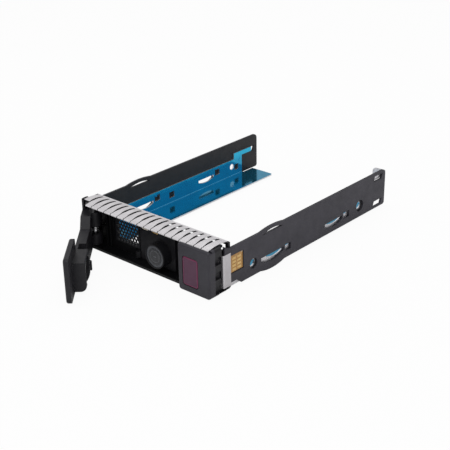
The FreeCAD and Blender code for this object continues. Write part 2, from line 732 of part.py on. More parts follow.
def rear_stop(body, name, finger_low):
    """Tab bent inward behind the drive, at the end of the right finger."""
    top = finger_low + z.finger_height
    inner = rail_inner - z.stop_width
    outline = [
        (inner, top - z.stop_height), (rail_inner, top - z.stop_height),
        (rail_inner, top), (inner + z.stop_corner, top),
        (inner, top - z.stop_corner, z.stop_corner),
    ]
    pad(body, name, "front", [outline], stop_front, stop_front + z.sheet_thickness)


def film(name, side, finger_low):
    """Insulating film on the inner faces of a bracket."""
    body = new_body(name)
    low, high = sides(side, film_inner, bracket_inner)
    flange_top = z.rail_bottom + z.sheet_thickness
    wall = bracket_wall(flange_top, finger_low, finger_end)
    pad(body, f"{name}_wall", "side", [wall], low, high)
    flange = flange_outline(side, bracket_inner)
    pad(body, f"{name}_flange", "top", [flange], flange_top,
        flange_top + z.film_thickness)
    shanks = [disc(place, z.rivet_height, z.rivet_radius) for place in rivet_places]
    cut(body, f"{name}_openings", "side", bracket_openings() + shanks, low, high)


def rivets(name, side):
    body = new_body(name)
    shank = sides(side, film_inner, rail_inner + z.rivet_bite)
    head = sides(side, film_inner - z.rivet_head, film_inner)
    for part, radius, span in (("shanks", z.rivet_radius, shank),
                               ("heads", z.rivet_head_radius, head)):
        outlines = [disc(place, z.rivet_height, radius) for place in rivet_places]
        pad(body, f"{name}_{part}", "side", outlines, *span)


# ---- bezel frame


def roof_outline():
    """Plan of the roof: a tongue with a round ear at the pivot, and a rear rib."""
    x, y, ear = pivot_x, z.pivot_y, z.ear_radius
    back = z.bezel_depth
    ear_x = x - ear / 2
    ear_y = y + ear * math.sqrt(3) / 2
    step = z.post_front - z.button_clearance
    return [
        (x, y - ear), (block_left + z.wall, y - ear), (block_left + z.wall, back),
        (-rail_inner, back), (-rail_inner, step), (ear_x, step), (ear_x, ear_y),
        ("close", ear),
    ]


def floor_outline():
    back = z.bezel_depth
    left = -(half_width - z.wall)
    return [
        (left + z.floor_corner, z.setback), (block_left + z.wall, z.setback),
        (block_left + z.wall, back), (left, back), (left, z.setback + z.floor_corner),
        ("close", z.floor_corner),
    ]


def cheek_comb():
    """What is cut out of the right cheek behind its solid part."""
    front, reach, low = z.cheek_depth, z.tooth_reach, z.floor_thickness
    past = z.bezel_depth + z.wall
    points = [(front, low), (past, low), (past, z.cheek_top_bar),
              (front, z.cheek_top_bar)]
    for tooth in (1, 0):
        base = z.tooth_low + tooth * z.tooth_pitch
        points += [(front, base + z.tooth_height), (reach, base + z.tooth_height),
                   (reach, base), (front, base)]
    return points


def bezel_frame():
    body = new_body("bezel_frame")
    button_block(body)
    recess_shell(body)
    rear_wall_details(body)
    small_cuts(body)
    slide_guides(body)


def button_block(body):
    """Block that carries the button, with the comb in its right cheek."""
    floor_, top, wall = z.floor_thickness, z.bezel_height, z.wall
    front = [rounded(block_left, ZERO, half_width, top, z.corner_radius)]
    pad(body, "block", "front", front, ZERO, z.block_depth)
    soften(body, "block_edges", z.edge_radius, front_edge_test(ZERO))
    inside = box(block_left + wall, floor_, half_width - wall, roof_low)
    cut(body, "block_hollow", "front", [inside], z.front_wall, z.block_depth)
    cut(body, "cheek_comb", "side", [cheek_comb()], half_width - wall, half_width)
    bar = box(z.cheek_back, z.cheek_top_bar, z.bezel_depth, top)
    cut(body, "cheek_bar_end", "side", [bar], half_width - wall, half_width)
    play = z.button_clearance
    opening = rounded(button_left - play, z.button_low - play, button_right + play,
                      button_high + play, z.button_radius + play)
    cut(body, "button_opening", "front", [opening], ZERO, z.front_wall)
    liner = box(z.front_wall / 2, floor_ / 2, z.bezel_depth, z.cheek_top_bar + wall)
    pad(body, "cheek_liner", "side", [liner], rail_inner - z.post_thickness,
        half_width - wall)


def recess_shell(body):
    """Floor, roof, rear walls and posts round the lever's recess."""
    floor_, top, wall = z.floor_thickness, z.bezel_height, z.wall
    back = z.bezel_depth
    pad(body, "recess_floor", "top", [floor_outline()], ZERO, floor_)
    pad(body, "block_floor", "top",
        [box(block_left, z.block_depth - wall, rail_inner, back)], ZERO, floor_)
    pad(body, "recess_roof", "top", [roof_outline()], roof_low, top)
    rear = box(wall_left, floor_, block_left + wall, roof_low)
    pad(body, "rear_wall", "front", [rear], z.rear_wall_front, rear_wall_back)
    pocket = [
        (-rail_inner, back - wall), (wall_left, back - wall),
        (wall_left, z.rear_wall_front), (wall_left + wall, z.rear_wall_front),
        (wall_left + wall, back), (-rail_inner, back),
    ]
    pad(body, "pocket_wall", "top", [pocket], floor_, roof_low)
    rib = box(-rail_inner, roof_low, rail_inner, top)
    pad(body, "rear_rib", "front", [rib], back - wall, back)
    posts = [
        box(-rail_inner, z.post_front, z.post_thickness - rail_inner, back),
        box(rail_inner - z.post_thickness, back - wall, rail_inner, back),
    ]
    pad(body, "posts", "top", posts, floor_ / 2, roof_low)
    open_roof = box(block_left - z.roof_open_left, z.roof_open_front, half_width,
                    back - wall)
    cut(body, "roof_opening", "top", [open_roof], roof_low, top)


def rear_wall_details(body):
    """Windows and ribs of the recess's rear wall."""
    floor_, rim = z.floor_thickness, z.grille_rim
    half = (z.board_size + rim) / 2
    windows = [
        box(grille_left + rim, z.grille_low + rim, grille_right - rim, grille_high - rim),
        box(indicator_x - half, z.indicator_z - half, indicator_x + half,
            z.indicator_z + half),
        box(catch_right - z.catch_width - z.button_travel - z.catch_play,
            z.slide_low - z.catch_play, catch_right + z.catch_play,
            z.slide_high + z.catch_play),
    ]
    cut(body, "rear_wall_windows", "front", windows, z.rear_wall_front, rear_wall_back)
    first = wall_left + z.rib_thickness
    ribs = [box(place, floor_, place + z.rib_thickness, roof_low)
            for place in (first, first + z.rib_pitch)]
    pad(body, "recess_ribs", "front", ribs, z.rear_wall_front - z.rib_reach,
        z.rear_wall_front)


def small_cuts(body):
    """Groove for the curled fingers, heel step, flex notch and pin seats."""
    floor_, top, play = z.floor_thickness, z.bezel_height, z.flex_play
    groove = box(block_left - z.wall, z.groove_front, half_width,
                 z.spring_front + z.tip_radius + z.spring_sheet)
    cut(body, "finger_groove", "top", [groove], top - z.groove_depth, top)
    heel = box(z.heel_front, ZERO, z.bezel_depth, z.heel_height)
    cut(body, "heel_step", "side", [heel], half_width - z.wall, half_width)
    notch = box(tail_back - z.flex_thickness - play, tail_low - play, z.bezel_depth,
                tail_high + play)
    cut(body, "tail_notch", "side", [notch], rail_inner - z.post_thickness, rail_inner)
    seat = [disc(pivot_x, z.pivot_y, z.pin_radius)]
    cut(body, "pin_seat_low", "top", seat, floor_ - z.pin_seat, floor_)
    cut(body, "pin_seat_high", "top", seat, roof_low, roof_low + z.pin_seat)


def slide_guides(body):
    """Two loops behind the rear wall that carry the latch slide."""
    play, wall = z.guide_play, z.guide_wall
    back = z.slide_front + z.slide_thickness
    for name, middle in (("left_guide", guide_left_x), ("right_guide", guide_right_x)):
        left = middle - z.guide_width / 2
        right = middle + z.guide_width / 2
        block = box(rear_wall_back, z.floor_thickness / 2, back + play + wall,
                    z.slide_high + play + wall)
        pad(body, name, "side", [block], left, right)
        hole = box(z.slide_front - play, z.slide_low - play, back + play,
                   z.slide_high + play)
        cut(body, f"{name}_hole", "side", [hole], left, right)
    stop = box(latch_stop_x - z.guide_wall, rear_wall_back, latch_stop_x, back)
    pad(body, "latch_stop", "top", [stop], z.floor_thickness / 2, z.slide_high)


# ---- pieces in the recess


def vent_grille():
    body = new_body("vent_grille")
    back = z.rear_wall_front
    front = back - z.grille_thickness
    plate = box(grille_left, z.grille_low, grille_right, grille_high)
    pad(body, "grille_plate", "front", [plate], front, back)
    row = vent_pitch * math.sqrt(3) / 2
    middle_x = (grille_left + grille_right) / 2
    middle_z = (z.grille_low + grille_high) / 2
    left = middle_x - (z.vent_columns - 0.5) * vent_pitch / 2
    low = middle_z - (2 * z.vent_rows - 1) * row / 2
    outlines = []
    for column, level in ((0, 0), (1, 1)):
        x = left + column * vent_pitch / 2
        y = low + level * row
        outlines.append(hexagon(x, y, vent_size / 2))
    vents = cut(body, "vent_pair", "front", outlines, front, back)
    multi_repeat(body, "vents", vents, vent_pitch, z.vent_columns, 2 * row, z.vent_rows)


def hexagon(x, y, flat):
    """Hexagon with two upright sides, from its distance to a flat."""
    tip = flat * HEX_TIP
    return [(x + flat, y - tip / 2), (x + flat, y + tip / 2), (x, y + tip),
            (x - flat, y + tip / 2), (x - flat, y - tip / 2), (x, y - tip)]


def multi_repeat(body, name, feature, pitch, columns, rise, rows):
    """Repeat a feature over a field in the front plane."""
    axes = {item.Role: item for item in body.Origin.OriginFeatures}
    multi = body.newObject("PartDesign::MultiTransform", name)
    multi.Originals = [feature]
    steps = []
    for part, axis, step, count in (("across", "X_Axis", pitch, columns),
                                    ("up", "Z_Axis", rise, rows)):
        pattern = body.newObject("PartDesign::LinearPattern", f"{name}_{part}")
        pattern.Direction = (axes[axis], [""])
        pattern.Mode = "Spacing"
        pattern.Offset = number(step)
        bind(pattern, "Offset", step)
        pattern.Occurrences = int(number(count))
        bind(pattern, "Occurrences", count)
        steps.append(pattern)
    multi.Transformations = steps
    body.Tip = multi


def indicator_housing():
    body = new_body("indicator_housing")
    back = z.rear_wall_front
    front = back - z.panel_thickness
    low = z.floor_thickness + z.panel_lift
    plate = box(panel_left, low, panel_right, panel_top)
    pad(body, "panel", "front", [plate], front, back)
    boss = disc(indicator_x, z.indicator_z, z.boss_radius)
    pad(body, "boss", "front", [boss], boss_front, back)
    bore = disc(indicator_x, z.indicator_z, z.boss_bore)
    cut(body, "boss_bore_cut", "front", [bore], boss_front, back)
    slot_top = panel_top - 2 * z.panel_slot_height
    slots = []
    for place in (0, 1):
        left = panel_left + z.panel_slot_height + place * z.panel_slot_pitch
        slots.append(box(left, slot_top - z.panel_slot_height,
                         left + z.panel_slot_length, slot_top))
    cut(body, "panel_slots", "front", slots, front, back)


def ring_light_guide():
    body = new_body("ring_light_guide")
    outlines = [disc(indicator_x, z.indicator_z, z.ring_outer),
                disc(indicator_x, z.indicator_z, z.ring_inner)]
    pad(body, "ring", "front", outlines, boss_front + z.ring_recess, z.rear_wall_front)


def indicator_disc():
    body = new_body("indicator_disc")
    outline = disc(indicator_x, z.indicator_z, z.disc_radius)
    pad(body, "disc", "front", [outline], boss_front + z.disc_recess, z.rear_wall_front)


def led_board():
    body = new_body("led_board")
    half = z.board_size / 2
    front = z.rear_wall_front
    back = front + z.board_thickness
    plate = box(indicator_x - half, z.indicator_z - half, indicator_x + half,
                z.indicator_z + half)
    pad(body, "board", "front", [plate], front, back)
    reach = (z.ring_inner + z.ring_outer) / 2
    lamp = z.led_size / 2
    lamps = []
    for dx, dz in ((1, 0), (0, 1), (-1, 0), (0, -1)):
        x = indicator_x + dx * reach
        y = z.indicator_z + dz * reach
        lamps.append(box(x - lamp, y - lamp, x + lamp, y + lamp))
    pad(body, "lamps", "front", lamps, back, back + z.led_height)


def flex_circuit():
    """Contact pad in the right rail's window, with its tail to the light board."""
    body = new_body("flex_circuit")
    outer = rail_outer - z.flex_depth
    inner = outer - z.flex_thickness
    tail_front = tail_back - z.flex_thickness
    play = z.flex_play
    low, high = z.window_low + play, z.window_high - play
    pad(body, "contact_pad", "side",
        [box(tail_front, low, z.window_back - play, high)], inner, outer)
    tail_end = indicator_x + z.board_size / 2
    pad(body, "tail", "front", [box(tail_end, tail_low, outer, tail_high)], tail_front,
        tail_back)
    board_back = z.rear_wall_front + z.board_thickness
    pad(body, "tail_turn", "side", [box(board_back, tail_low, tail_back, tail_high)],
        tail_end - z.flex_thickness, tail_end)


def emi_top_spring():
    """Row of contact fingers on the roof, bowed along and curled at their tips."""
    body = new_body("emi_top_spring")
    sheet_, low = z.spring_sheet, z.bezel_height
    root = spring_back - z.spring_band
    land, tip = z.bow_land, z.spring_front
    span = root - land
    inner = bow_radius(span, z.bow_crest)
    curl = z.tip_radius
    profile = [
        (spring_back, low), (spring_back, low + sheet_), (root, low + sheet_),
        (land, low + sheet_, inner), (tip + curl, low + sheet_),
        (tip, low + sheet_ - curl, curl), (tip + sheet_, low + sheet_ - curl),
        (tip + curl, low, -(curl - sheet_)), (land, low), (root, low, -inner),
    ]
    right = spring_left + z.finger_count * finger_pitch - z.cut_narrow
    pad(body, "spring_strip", "side", [profile], spring_left, right)
    middle = spring_left + finger_pitch - z.cut_narrow / 2
    narrow, wide = z.cut_narrow / 2, z.cut_wide / 2
    past = tip - curl
    slit = [
        (middle - narrow, past), (middle + narrow, past), (middle + narrow, z.cut_change),
        (middle + wide, z.cut_change + z.cut_taper), (middle + wide, root),
        (middle - wide, root), (middle - wide, z.cut_change + z.cut_taper),
        (middle - narrow, z.cut_change),
    ]
    top = low + z.bow_crest + 2 * sheet_
    slits = cut(body, "spring_slit", "top", [slit], low - 2 * curl, top)
    repeat(body, "spring_slits", [slits], "X_Axis", finger_pitch, z.finger_count - 1)
    corner = box(spring_left, past, pivot_x, z.first_finger_back)
    cut(body, "first_finger_step", "top", [corner], low - 2 * curl, top)


def emi_side_spring():
    """Contact spring folded round the front of the right rail's tongues."""
    body = new_body("emi_side_spring")
    x, sheet_, bend = rail_outer, z.spring_sheet, z.clip_bend
    front, back = z.clip_front, z.clip_front + z.clip_length
    outline = [
        (x - z.clip_hook, front), (x + sheet_ - bend, front),
        (x + sheet_, front + bend, bend), (x + sheet_, back), (x, back),
        (x, front + bend), (x + sheet_ - bend, front + sheet_, -(bend - sheet_)),
        (x - z.clip_hook, front + sheet_),
    ]
    pad(body, "side_spring", "top", [outline], z.clip_low, z.clip_high)


# ---- lever, drawn closed about its pivot


def release_lever():
    body = new_body("release_lever")
    lever_plate(body)
    lever_arm(body)
    lever_shroud(body)
    lever_hook(body)
    lever_bores(body)
    on_lever(body)


def lever_plate(body):
    """Tall face plate with a rounded front edge, and the bridge to the arm."""
    face = -z.pivot_y
    face_back = face + z.face_thickness
    plate = rounded(plate_start, z.face_low, plate_end, face_top, z.plate_corner)
    pad(body, "face_plate", "front", [plate], face, face_back)
    soften(body, "plate_edges", z.edge_radius, front_edge_test(face))
    bridge = box(arm_end - z.wall, z.hub_low, plate_start + z.wall, z.arm_top)
    pad(body, "face_bridge", "front", [bridge], face + z.edge_radius, face_back)


def lever_arm(body):
    """Arm, hub with its knuckles, and the fin that rises from the hub."""
    front = z.edge_radius - z.pivot_y
    back = z.arm_depth - z.pivot_y
    hub, low, shoulder = z.hub_radius, z.hub_low, 2 * z.knuckle_radius
    profile = [
        (z.knuckle_radius, low), (arm_end, low), (arm_end, z.arm_top),
        (z.arm_shoulder, z.arm_top), (shoulder, z.hub_top), (z.knuckle_radius, z.hub_top),
    ]
    pad(body, "arm", "front", [profile], front, back)
    corner = hub - z.corner_radius
    plan = [
        (-corner, front), (shoulder, front), (shoulder, back), (-hub, back),
        (-hub, back - z.edge_radius), ("close", hub),
    ]
    pad(body, "hub", "top", [plan], low, z.hub_top)
    pad(body, "knuckles", "top", [disc(ZERO, ZERO, z.knuckle_radius)], low, z.hub_top)
    pad(body, "fin", "top", [fin_outline()], z.hub_top - z.face_thickness, fin_top)


def fin_outline():
    """Band round the hub's outer side, between two radii of the pivot."""
    outer, inner = z.hub_radius, z.fin_inner
    start, end = z.fin_from, z.fin_to
    return [
        (inner * cosine(start), inner * sine(start)),
        (outer * cosine(start), outer * sine(start)),
        (outer * cosine(end), outer * sine(end), outer),
        (inner * cosine(end), inner * sine(end)),
        ("close", -inner),
    ]


def lever_shroud(body):
    """Hollow block behind the lens, rounded along its rear edges."""
    centre, half = indicator_x - pivot_x, z.shroud_half
    face_back = z.face_thickness - z.pivot_y
    front, back = face_back - z.wall, z.shroud_back - z.pivot_y
    low, high = z.indicator_z - half, z.indicator_z + half
    heel, brow = z.shroud_heel, z.shroud_brow
    profile = [
        (front, low), (back - heel, low), (back, low + heel, heel), (back, high - brow),
        (back - brow, high, brow), (front, high),
    ]
    pad(body, "shroud", "side", [profile], centre - half, centre + half)
    bore = disc(centre, z.indicator_z, z.shroud_bore)
    cut(body, "shroud_hollow", "front", [bore], face_back, back)


def lever_hook(body):
    """Hook that the catch holds."""
    stem, barb = hook_start, z.hook_barb
    front = z.face_thickness - z.pivot_y - z.wall
    end = z.hook_back - z.pivot_y
    hook = [
        (stem, front), (stem + z.hook_stem, front), (stem + z.hook_stem, end),
        (stem, end), (stem - barb, end - barb), (stem - barb, end - 2 * barb),
        (stem, end - 2 * barb),
    ]
    pad(body, "hook", "top", [hook], z.hook_low, z.hook_high)


def lever_bores(body):
    """Gap for the coil, bore for the pin and seat of the lens."""
    gap = disc(ZERO, ZERO, z.coil_gap_radius)
    cut(body, "coil_gap", "top", [gap], z.coil_gap_low, z.coil_gap_high)
    bore = disc(ZERO, ZERO, z.pin_radius + z.pin_clearance)
    cut(body, "pin_bore", "top", [bore], z.hub_low, z.hub_top)
    lens_hole = disc(indicator_x - pivot_x, z.indicator_z, z.lens_radius + z.lens_clearance)
    cut(body, "lens_seat", "front", [lens_hole], -z.pivot_y, z.face_thickness - z.pivot_y)


def front_edge_test(front):
    """Test for edges that lie in the plane y = front."""
    def lies_there(edge):
        box_ = edge.BoundBox
        return max(abs(box_.YMin - front.value), abs(box_.YMax - front.value)) < TOUCH
    return lies_there


def lever_light_ring():
    body = new_body("lever_light_ring")
    face = -z.pivot_y
    centre = indicator_x - pivot_x
    outlines = [disc(centre, z.indicator_z, z.lens_radius),
                disc(centre, z.indicator_z, z.lens_hole)]
    pad(body, "lens", "front", outlines, face, face + z.face_thickness)
    on_lever(body)


def lever_centre_plug():
    """Plain plug in the middle of the lever's light ring."""
    body = new_body("lever_centre_plug")
    face = -z.pivot_y
    centre = indicator_x - pivot_x
    outline = disc(centre, z.indicator_z, z.lens_hole - z.lens_clearance)
    pad(body, "plug", "front", [outline], face, face + z.face_thickness)
    on_lever(body)


def pivot_pin():
    body = new_body("pivot_pin")
    outline = disc(pivot_x, z.pivot_y, z.pin_radius)
    pad(body, "pin", "top", [outline], z.floor_thickness - z.pin_seat,
        roof_low + z.pin_seat)


def lever_torsion_spring():
    """Return coil round the pin, between the lever's knuckles."""
    radius, wire = z.coil_radius.value, z.coil_wire.value
    pitch, turns = z.coil_pitch.value, z.coil_turns.value
    height = pitch * turns
    start = z.coil_gap_low.value + (z.coil_gap_high.value - z.coil_gap_low.value - height) / 2
    helix = Part.makeHelix(pitch, height, radius)
    corners = [FreeCAD.Vector(radius + wire * math.cos(turn * math.pi / 3), 0,
                              wire * math.sin(turn * math.pi / 3)) for turn in range(7)]
    section = Part.makePolygon(corners)
    coil = Part.Wire(helix.Edges).makePipeShell([section], True, True)
    leg_length = z.bezel_depth.value - z.wall.value - z.pivot_y.value
    leg = Part.makeCylinder(wire, leg_length, FreeCAD.Vector(radius, 0, height),
                            FreeCAD.Vector(0, 1, 0))
    short = Part.makeCylinder(wire, radius, FreeCAD.Vector(radius, 0, 0),
                              FreeCAD.Vector(0, -1, 0))
    feature = doc.addObject("Part::Feature", "lever_torsion_spring")
    feature.Label = "lever_torsion_spring"
    feature.Shape = coil.fuse([leg, short]).removeSplitter()
    feature.Placement = FreeCAD.Placement(
        FreeCAD.Vector(pivot_x.value, z.pivot_y.value, start), FreeCAD.Rotation())


# ---- button and latch


def release_button():
    body = new_body("release_button")
    left, right = button_left, button_right
    low, high = z.button_low, button_high
    cap = rounded(left, low, right, high, z.button_radius)
    pad(body, "cap", "front", [cap], ZERO, z.button_depth)
    soften(body, "cap_edge", z.button_edge, front_edge_test(ZERO))
    rim_front = z.front_wall + z.rim_gap
    rim = z.button_rim
    keeper = rounded(left - rim, low - rim, right + rim, high + rim, z.button_radius)
    pad(body, "rim", "front", [keeper], rim_front, rim_front + z.rim_thickness)
    cam_left = left + z.button_rim / 2
    cam_right = cam_left + z.cam_width
    slope = z.cam_back - (z.cam_width - z.button_rim / 2)
    cam = [
        (cam_left, rim_front), (cam_right, rim_front), (cam_right, z.cam_back),
        (cam_right - z.button_rim / 2, z.cam_back), (cam_left, slope),
    ]
    pad(body, "cam", "top", [cam], z.slide_low, z.slide_high)
    hollow = box(left + z.wall, z.slide_high + z.wall, right - z.wall, high - z.wall)
    cut(body, "cap_hollow", "front", [hollow], z.front_wall, z.button_depth)


def button_spring():
    """Leaf that returns the button, clipped to the cap's rear."""
    body = new_body("button_spring")
    sheet_ = z.leaf_spring_sheet
    middle = (button_left + button_right) / 2
    low = z.slide_high + 2 * z.wall
    front = z.button_depth
    reach = z.rear_wall_front - z.button_depth - z.button_travel - z.rim_gap
    profile = [
        (front, low), (front + sheet_, low), (front + sheet_, low + z.tooth_height),
        (front + reach, low + 2 * z.tooth_height),
        (front + reach - sheet_, low + 2 * z.tooth_height),
        (front, low + z.tooth_height + sheet_),
    ]
    pad(body, "leaf", "side", [profile], middle, middle + z.tooth_height)


def latch_slide():
    body = new_body("latch_slide")
    low, high = z.slide_low, z.slide_high
    front, back = z.slide_front, z.slide_front + z.slide_thickness
    cam_left = button_left + z.button_rim / 2
    slope = z.cam_back - (z.cam_width - z.button_rim / 2)
    end = cam_left + (front - slope) - z.cam_gap
    bar = [
        (slide_left, front), (end, front), (end + z.slide_thickness, back),
        (slide_left, back),
    ]
    pad(body, "bar", "top", [bar], low, high)
    catch_left = catch_right - z.catch_width
    tip = z.catch_width / 2
    catch = [
        (catch_left, z.catch_front + tip), (catch_left + tip, z.catch_front),
        (catch_right, z.catch_front + tip), (catch_right, front + z.slide_thickness / 2),
        (catch_left, front + z.slide_thickness / 2),
    ]
    pad(body, "catch", "top", [catch], low, high)


def latch_spring():
    """Leaf at the slide's left end that pushes it back to the right."""
    body = new_body("latch_spring")
    sheet_ = z.leaf_spring_sheet
    left = latch_stop_x + z.button_travel + z.guide_play
    front = z.slide_front
    back = z.slide_front + z.slide_thickness
    outline = [
        (slide_left - sheet_, front), (slide_left, front), (slide_left, back),
        (slide_left - sheet_, back), (left, front + sheet_), (left, front),
    ]
    low = z.slide_low + z.guide_play
    pad(body, "leaf", "top", [outline], low, z.slide_high - z.guide_play)


# ---- build, check and write


def check_document():
    """Stop at the first failed object, piece or feature."""
    for item in doc.Objects:
        if "Invalid" in item.State or "Error" in item.State:
            raise RuntimeError(f"{item.Label} failed: {item.State}")
    for body in doc.findObjects("PartDesign::Body"):
        for feature in body.Group:
            base = getattr(feature, "BaseFeature", None)
            if base is None:
                continue
            change = feature.Shape.Volume - base.Shape.Volume
            if feature.TypeId == "PartDesign::Pocket" and change > -1e-6:
                raise RuntimeError(f"{feature.Label} takes nothing away")
            if feature.TypeId == "PartDesign::Pad" and change < 1e-6:
                raise RuntimeError(f"{feature.Label} adds nothing")


def pieces():
    """Sub-parts: every body, and the coil."""
    return doc.findObjects("PartDesign::Body") + doc.findObjects("Part::Feature", "^lever_tor")


def write_pieces():
    os.makedirs("parts", exist_ok=True)
    for piece in pieces():
        shape = piece.Shape
        if shape.isNull() or not shape.isValid():
            raise RuntimeError(f"{piece.Label} has no valid shape")
        shape.exportStep(f"parts/{piece.Label}.step")


upper_slot = z.hook_slot_top - z.hook_slot_height
right_finger = upper_slot + (z.hook_slot_height - z.finger_height) / 2
left_finger = z.left_slot_low + z.hook_slot_height - z.finger_height + z.finger_lap
first_window = crescent_front + z.crescent_front_length + z.slot_web
rear_window = z.crescent_rear_front + z.crescent_rear_length + z.slot_web

bezel_frame()
vent_grille()
indicator_housing()
ring_light_guide()
indicator_disc()
led_board()
flex_circuit()
emi_top_spring()
emi_side_spring()
release_lever()
lever_light_ring()
lever_centre_plug()
pivot_pin()
lever_torsion_spring()
release_button()
button_spring()
latch_slide()
latch_spring()
rail("left_rail", -1, [z.left_slot_low], [])
rail("right_rail", 1, [upper_slot, z.hook_slot_low],
     [(first_window, z.slot_width), (rear_window, z.rear_slot_width)])
bracket("left_bracket", -1, left_finger, finger_end)
right = bracket("right_bracket", 1, right_finger, stop_front + z.sheet_thickness)
rear_stop(right, "right_bracket_stop", right_finger)
film("left_film", -1, left_finger)
film("right_film", 1, right_finger)
rivets("left_bracket_rivets", -1)
rivets("right_bracket_rivets", 1)

doc.recompute()
check_document()
write_pieces()
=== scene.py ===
"""Looks of the hot swap drive caddy: finishes, softened edges, fine pieces, light and camera."""
import logging
import math
from abc import ABC, abstractmethod
from dataclasses import dataclass, field
from enum import Enum
from functools import cached_property

import bmesh
import bpy
from mathutils import Matrix, Vector


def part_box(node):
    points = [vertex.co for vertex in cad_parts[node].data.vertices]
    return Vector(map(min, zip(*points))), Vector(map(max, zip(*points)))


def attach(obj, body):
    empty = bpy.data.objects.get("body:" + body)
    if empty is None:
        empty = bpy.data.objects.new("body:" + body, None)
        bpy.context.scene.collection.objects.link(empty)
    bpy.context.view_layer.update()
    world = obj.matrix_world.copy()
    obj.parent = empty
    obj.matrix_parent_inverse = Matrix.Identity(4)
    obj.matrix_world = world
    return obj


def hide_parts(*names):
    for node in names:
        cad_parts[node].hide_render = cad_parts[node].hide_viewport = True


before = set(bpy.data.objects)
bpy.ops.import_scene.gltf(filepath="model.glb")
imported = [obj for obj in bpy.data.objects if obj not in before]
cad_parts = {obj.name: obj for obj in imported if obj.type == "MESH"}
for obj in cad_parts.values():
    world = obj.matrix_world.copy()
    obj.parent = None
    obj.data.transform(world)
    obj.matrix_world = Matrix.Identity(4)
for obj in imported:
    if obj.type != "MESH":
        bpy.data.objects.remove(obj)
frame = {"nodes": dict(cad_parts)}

log = logging.getLogger("drive_caddy")

MM = 0.001
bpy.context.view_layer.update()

BEVEL_SAMPLES = 3
SHARP_ANGLE = math.radians(35.0)

Colour = tuple[float, float, float]
Point = tuple[float, float, float]
Span = tuple[float, float]
Socket = bpy.types.NodeSocket


class Axis(Enum):
    """Axis that a brushed finish, a turned piece or a coordinate follows."""

    X = (1.0, 0.0, 0.0)
    Y = (0.0, 1.0, 0.0)
    Z = (0.0, 0.0, 1.0)


class Side(Enum):
    """Side of the caddy, with its sign along X."""

    LEFT = -1
    RIGHT = 1

    @property
    def word(self) -> str:
        """Side as the nodes' names give it."""
        return self.name.lower()


class Operation(Enum):
    """What a finish does with one value or two."""

    ABSOLUTE = "ABSOLUTE"
    SUBTRACT = "SUBTRACT"
    MULTIPLY = "MULTIPLY"
    MAXIMUM = "MAXIMUM"


class Slot(Enum):
    """Material slot of a new piece."""

    BRIGHT_STEEL = "bright_steel"
    CONTACT_FLEX = "contact_flex"
    LIGHT_GUIDE = "light_guide"
    BLUE_FILM = "blue_film"


# ---- finishes


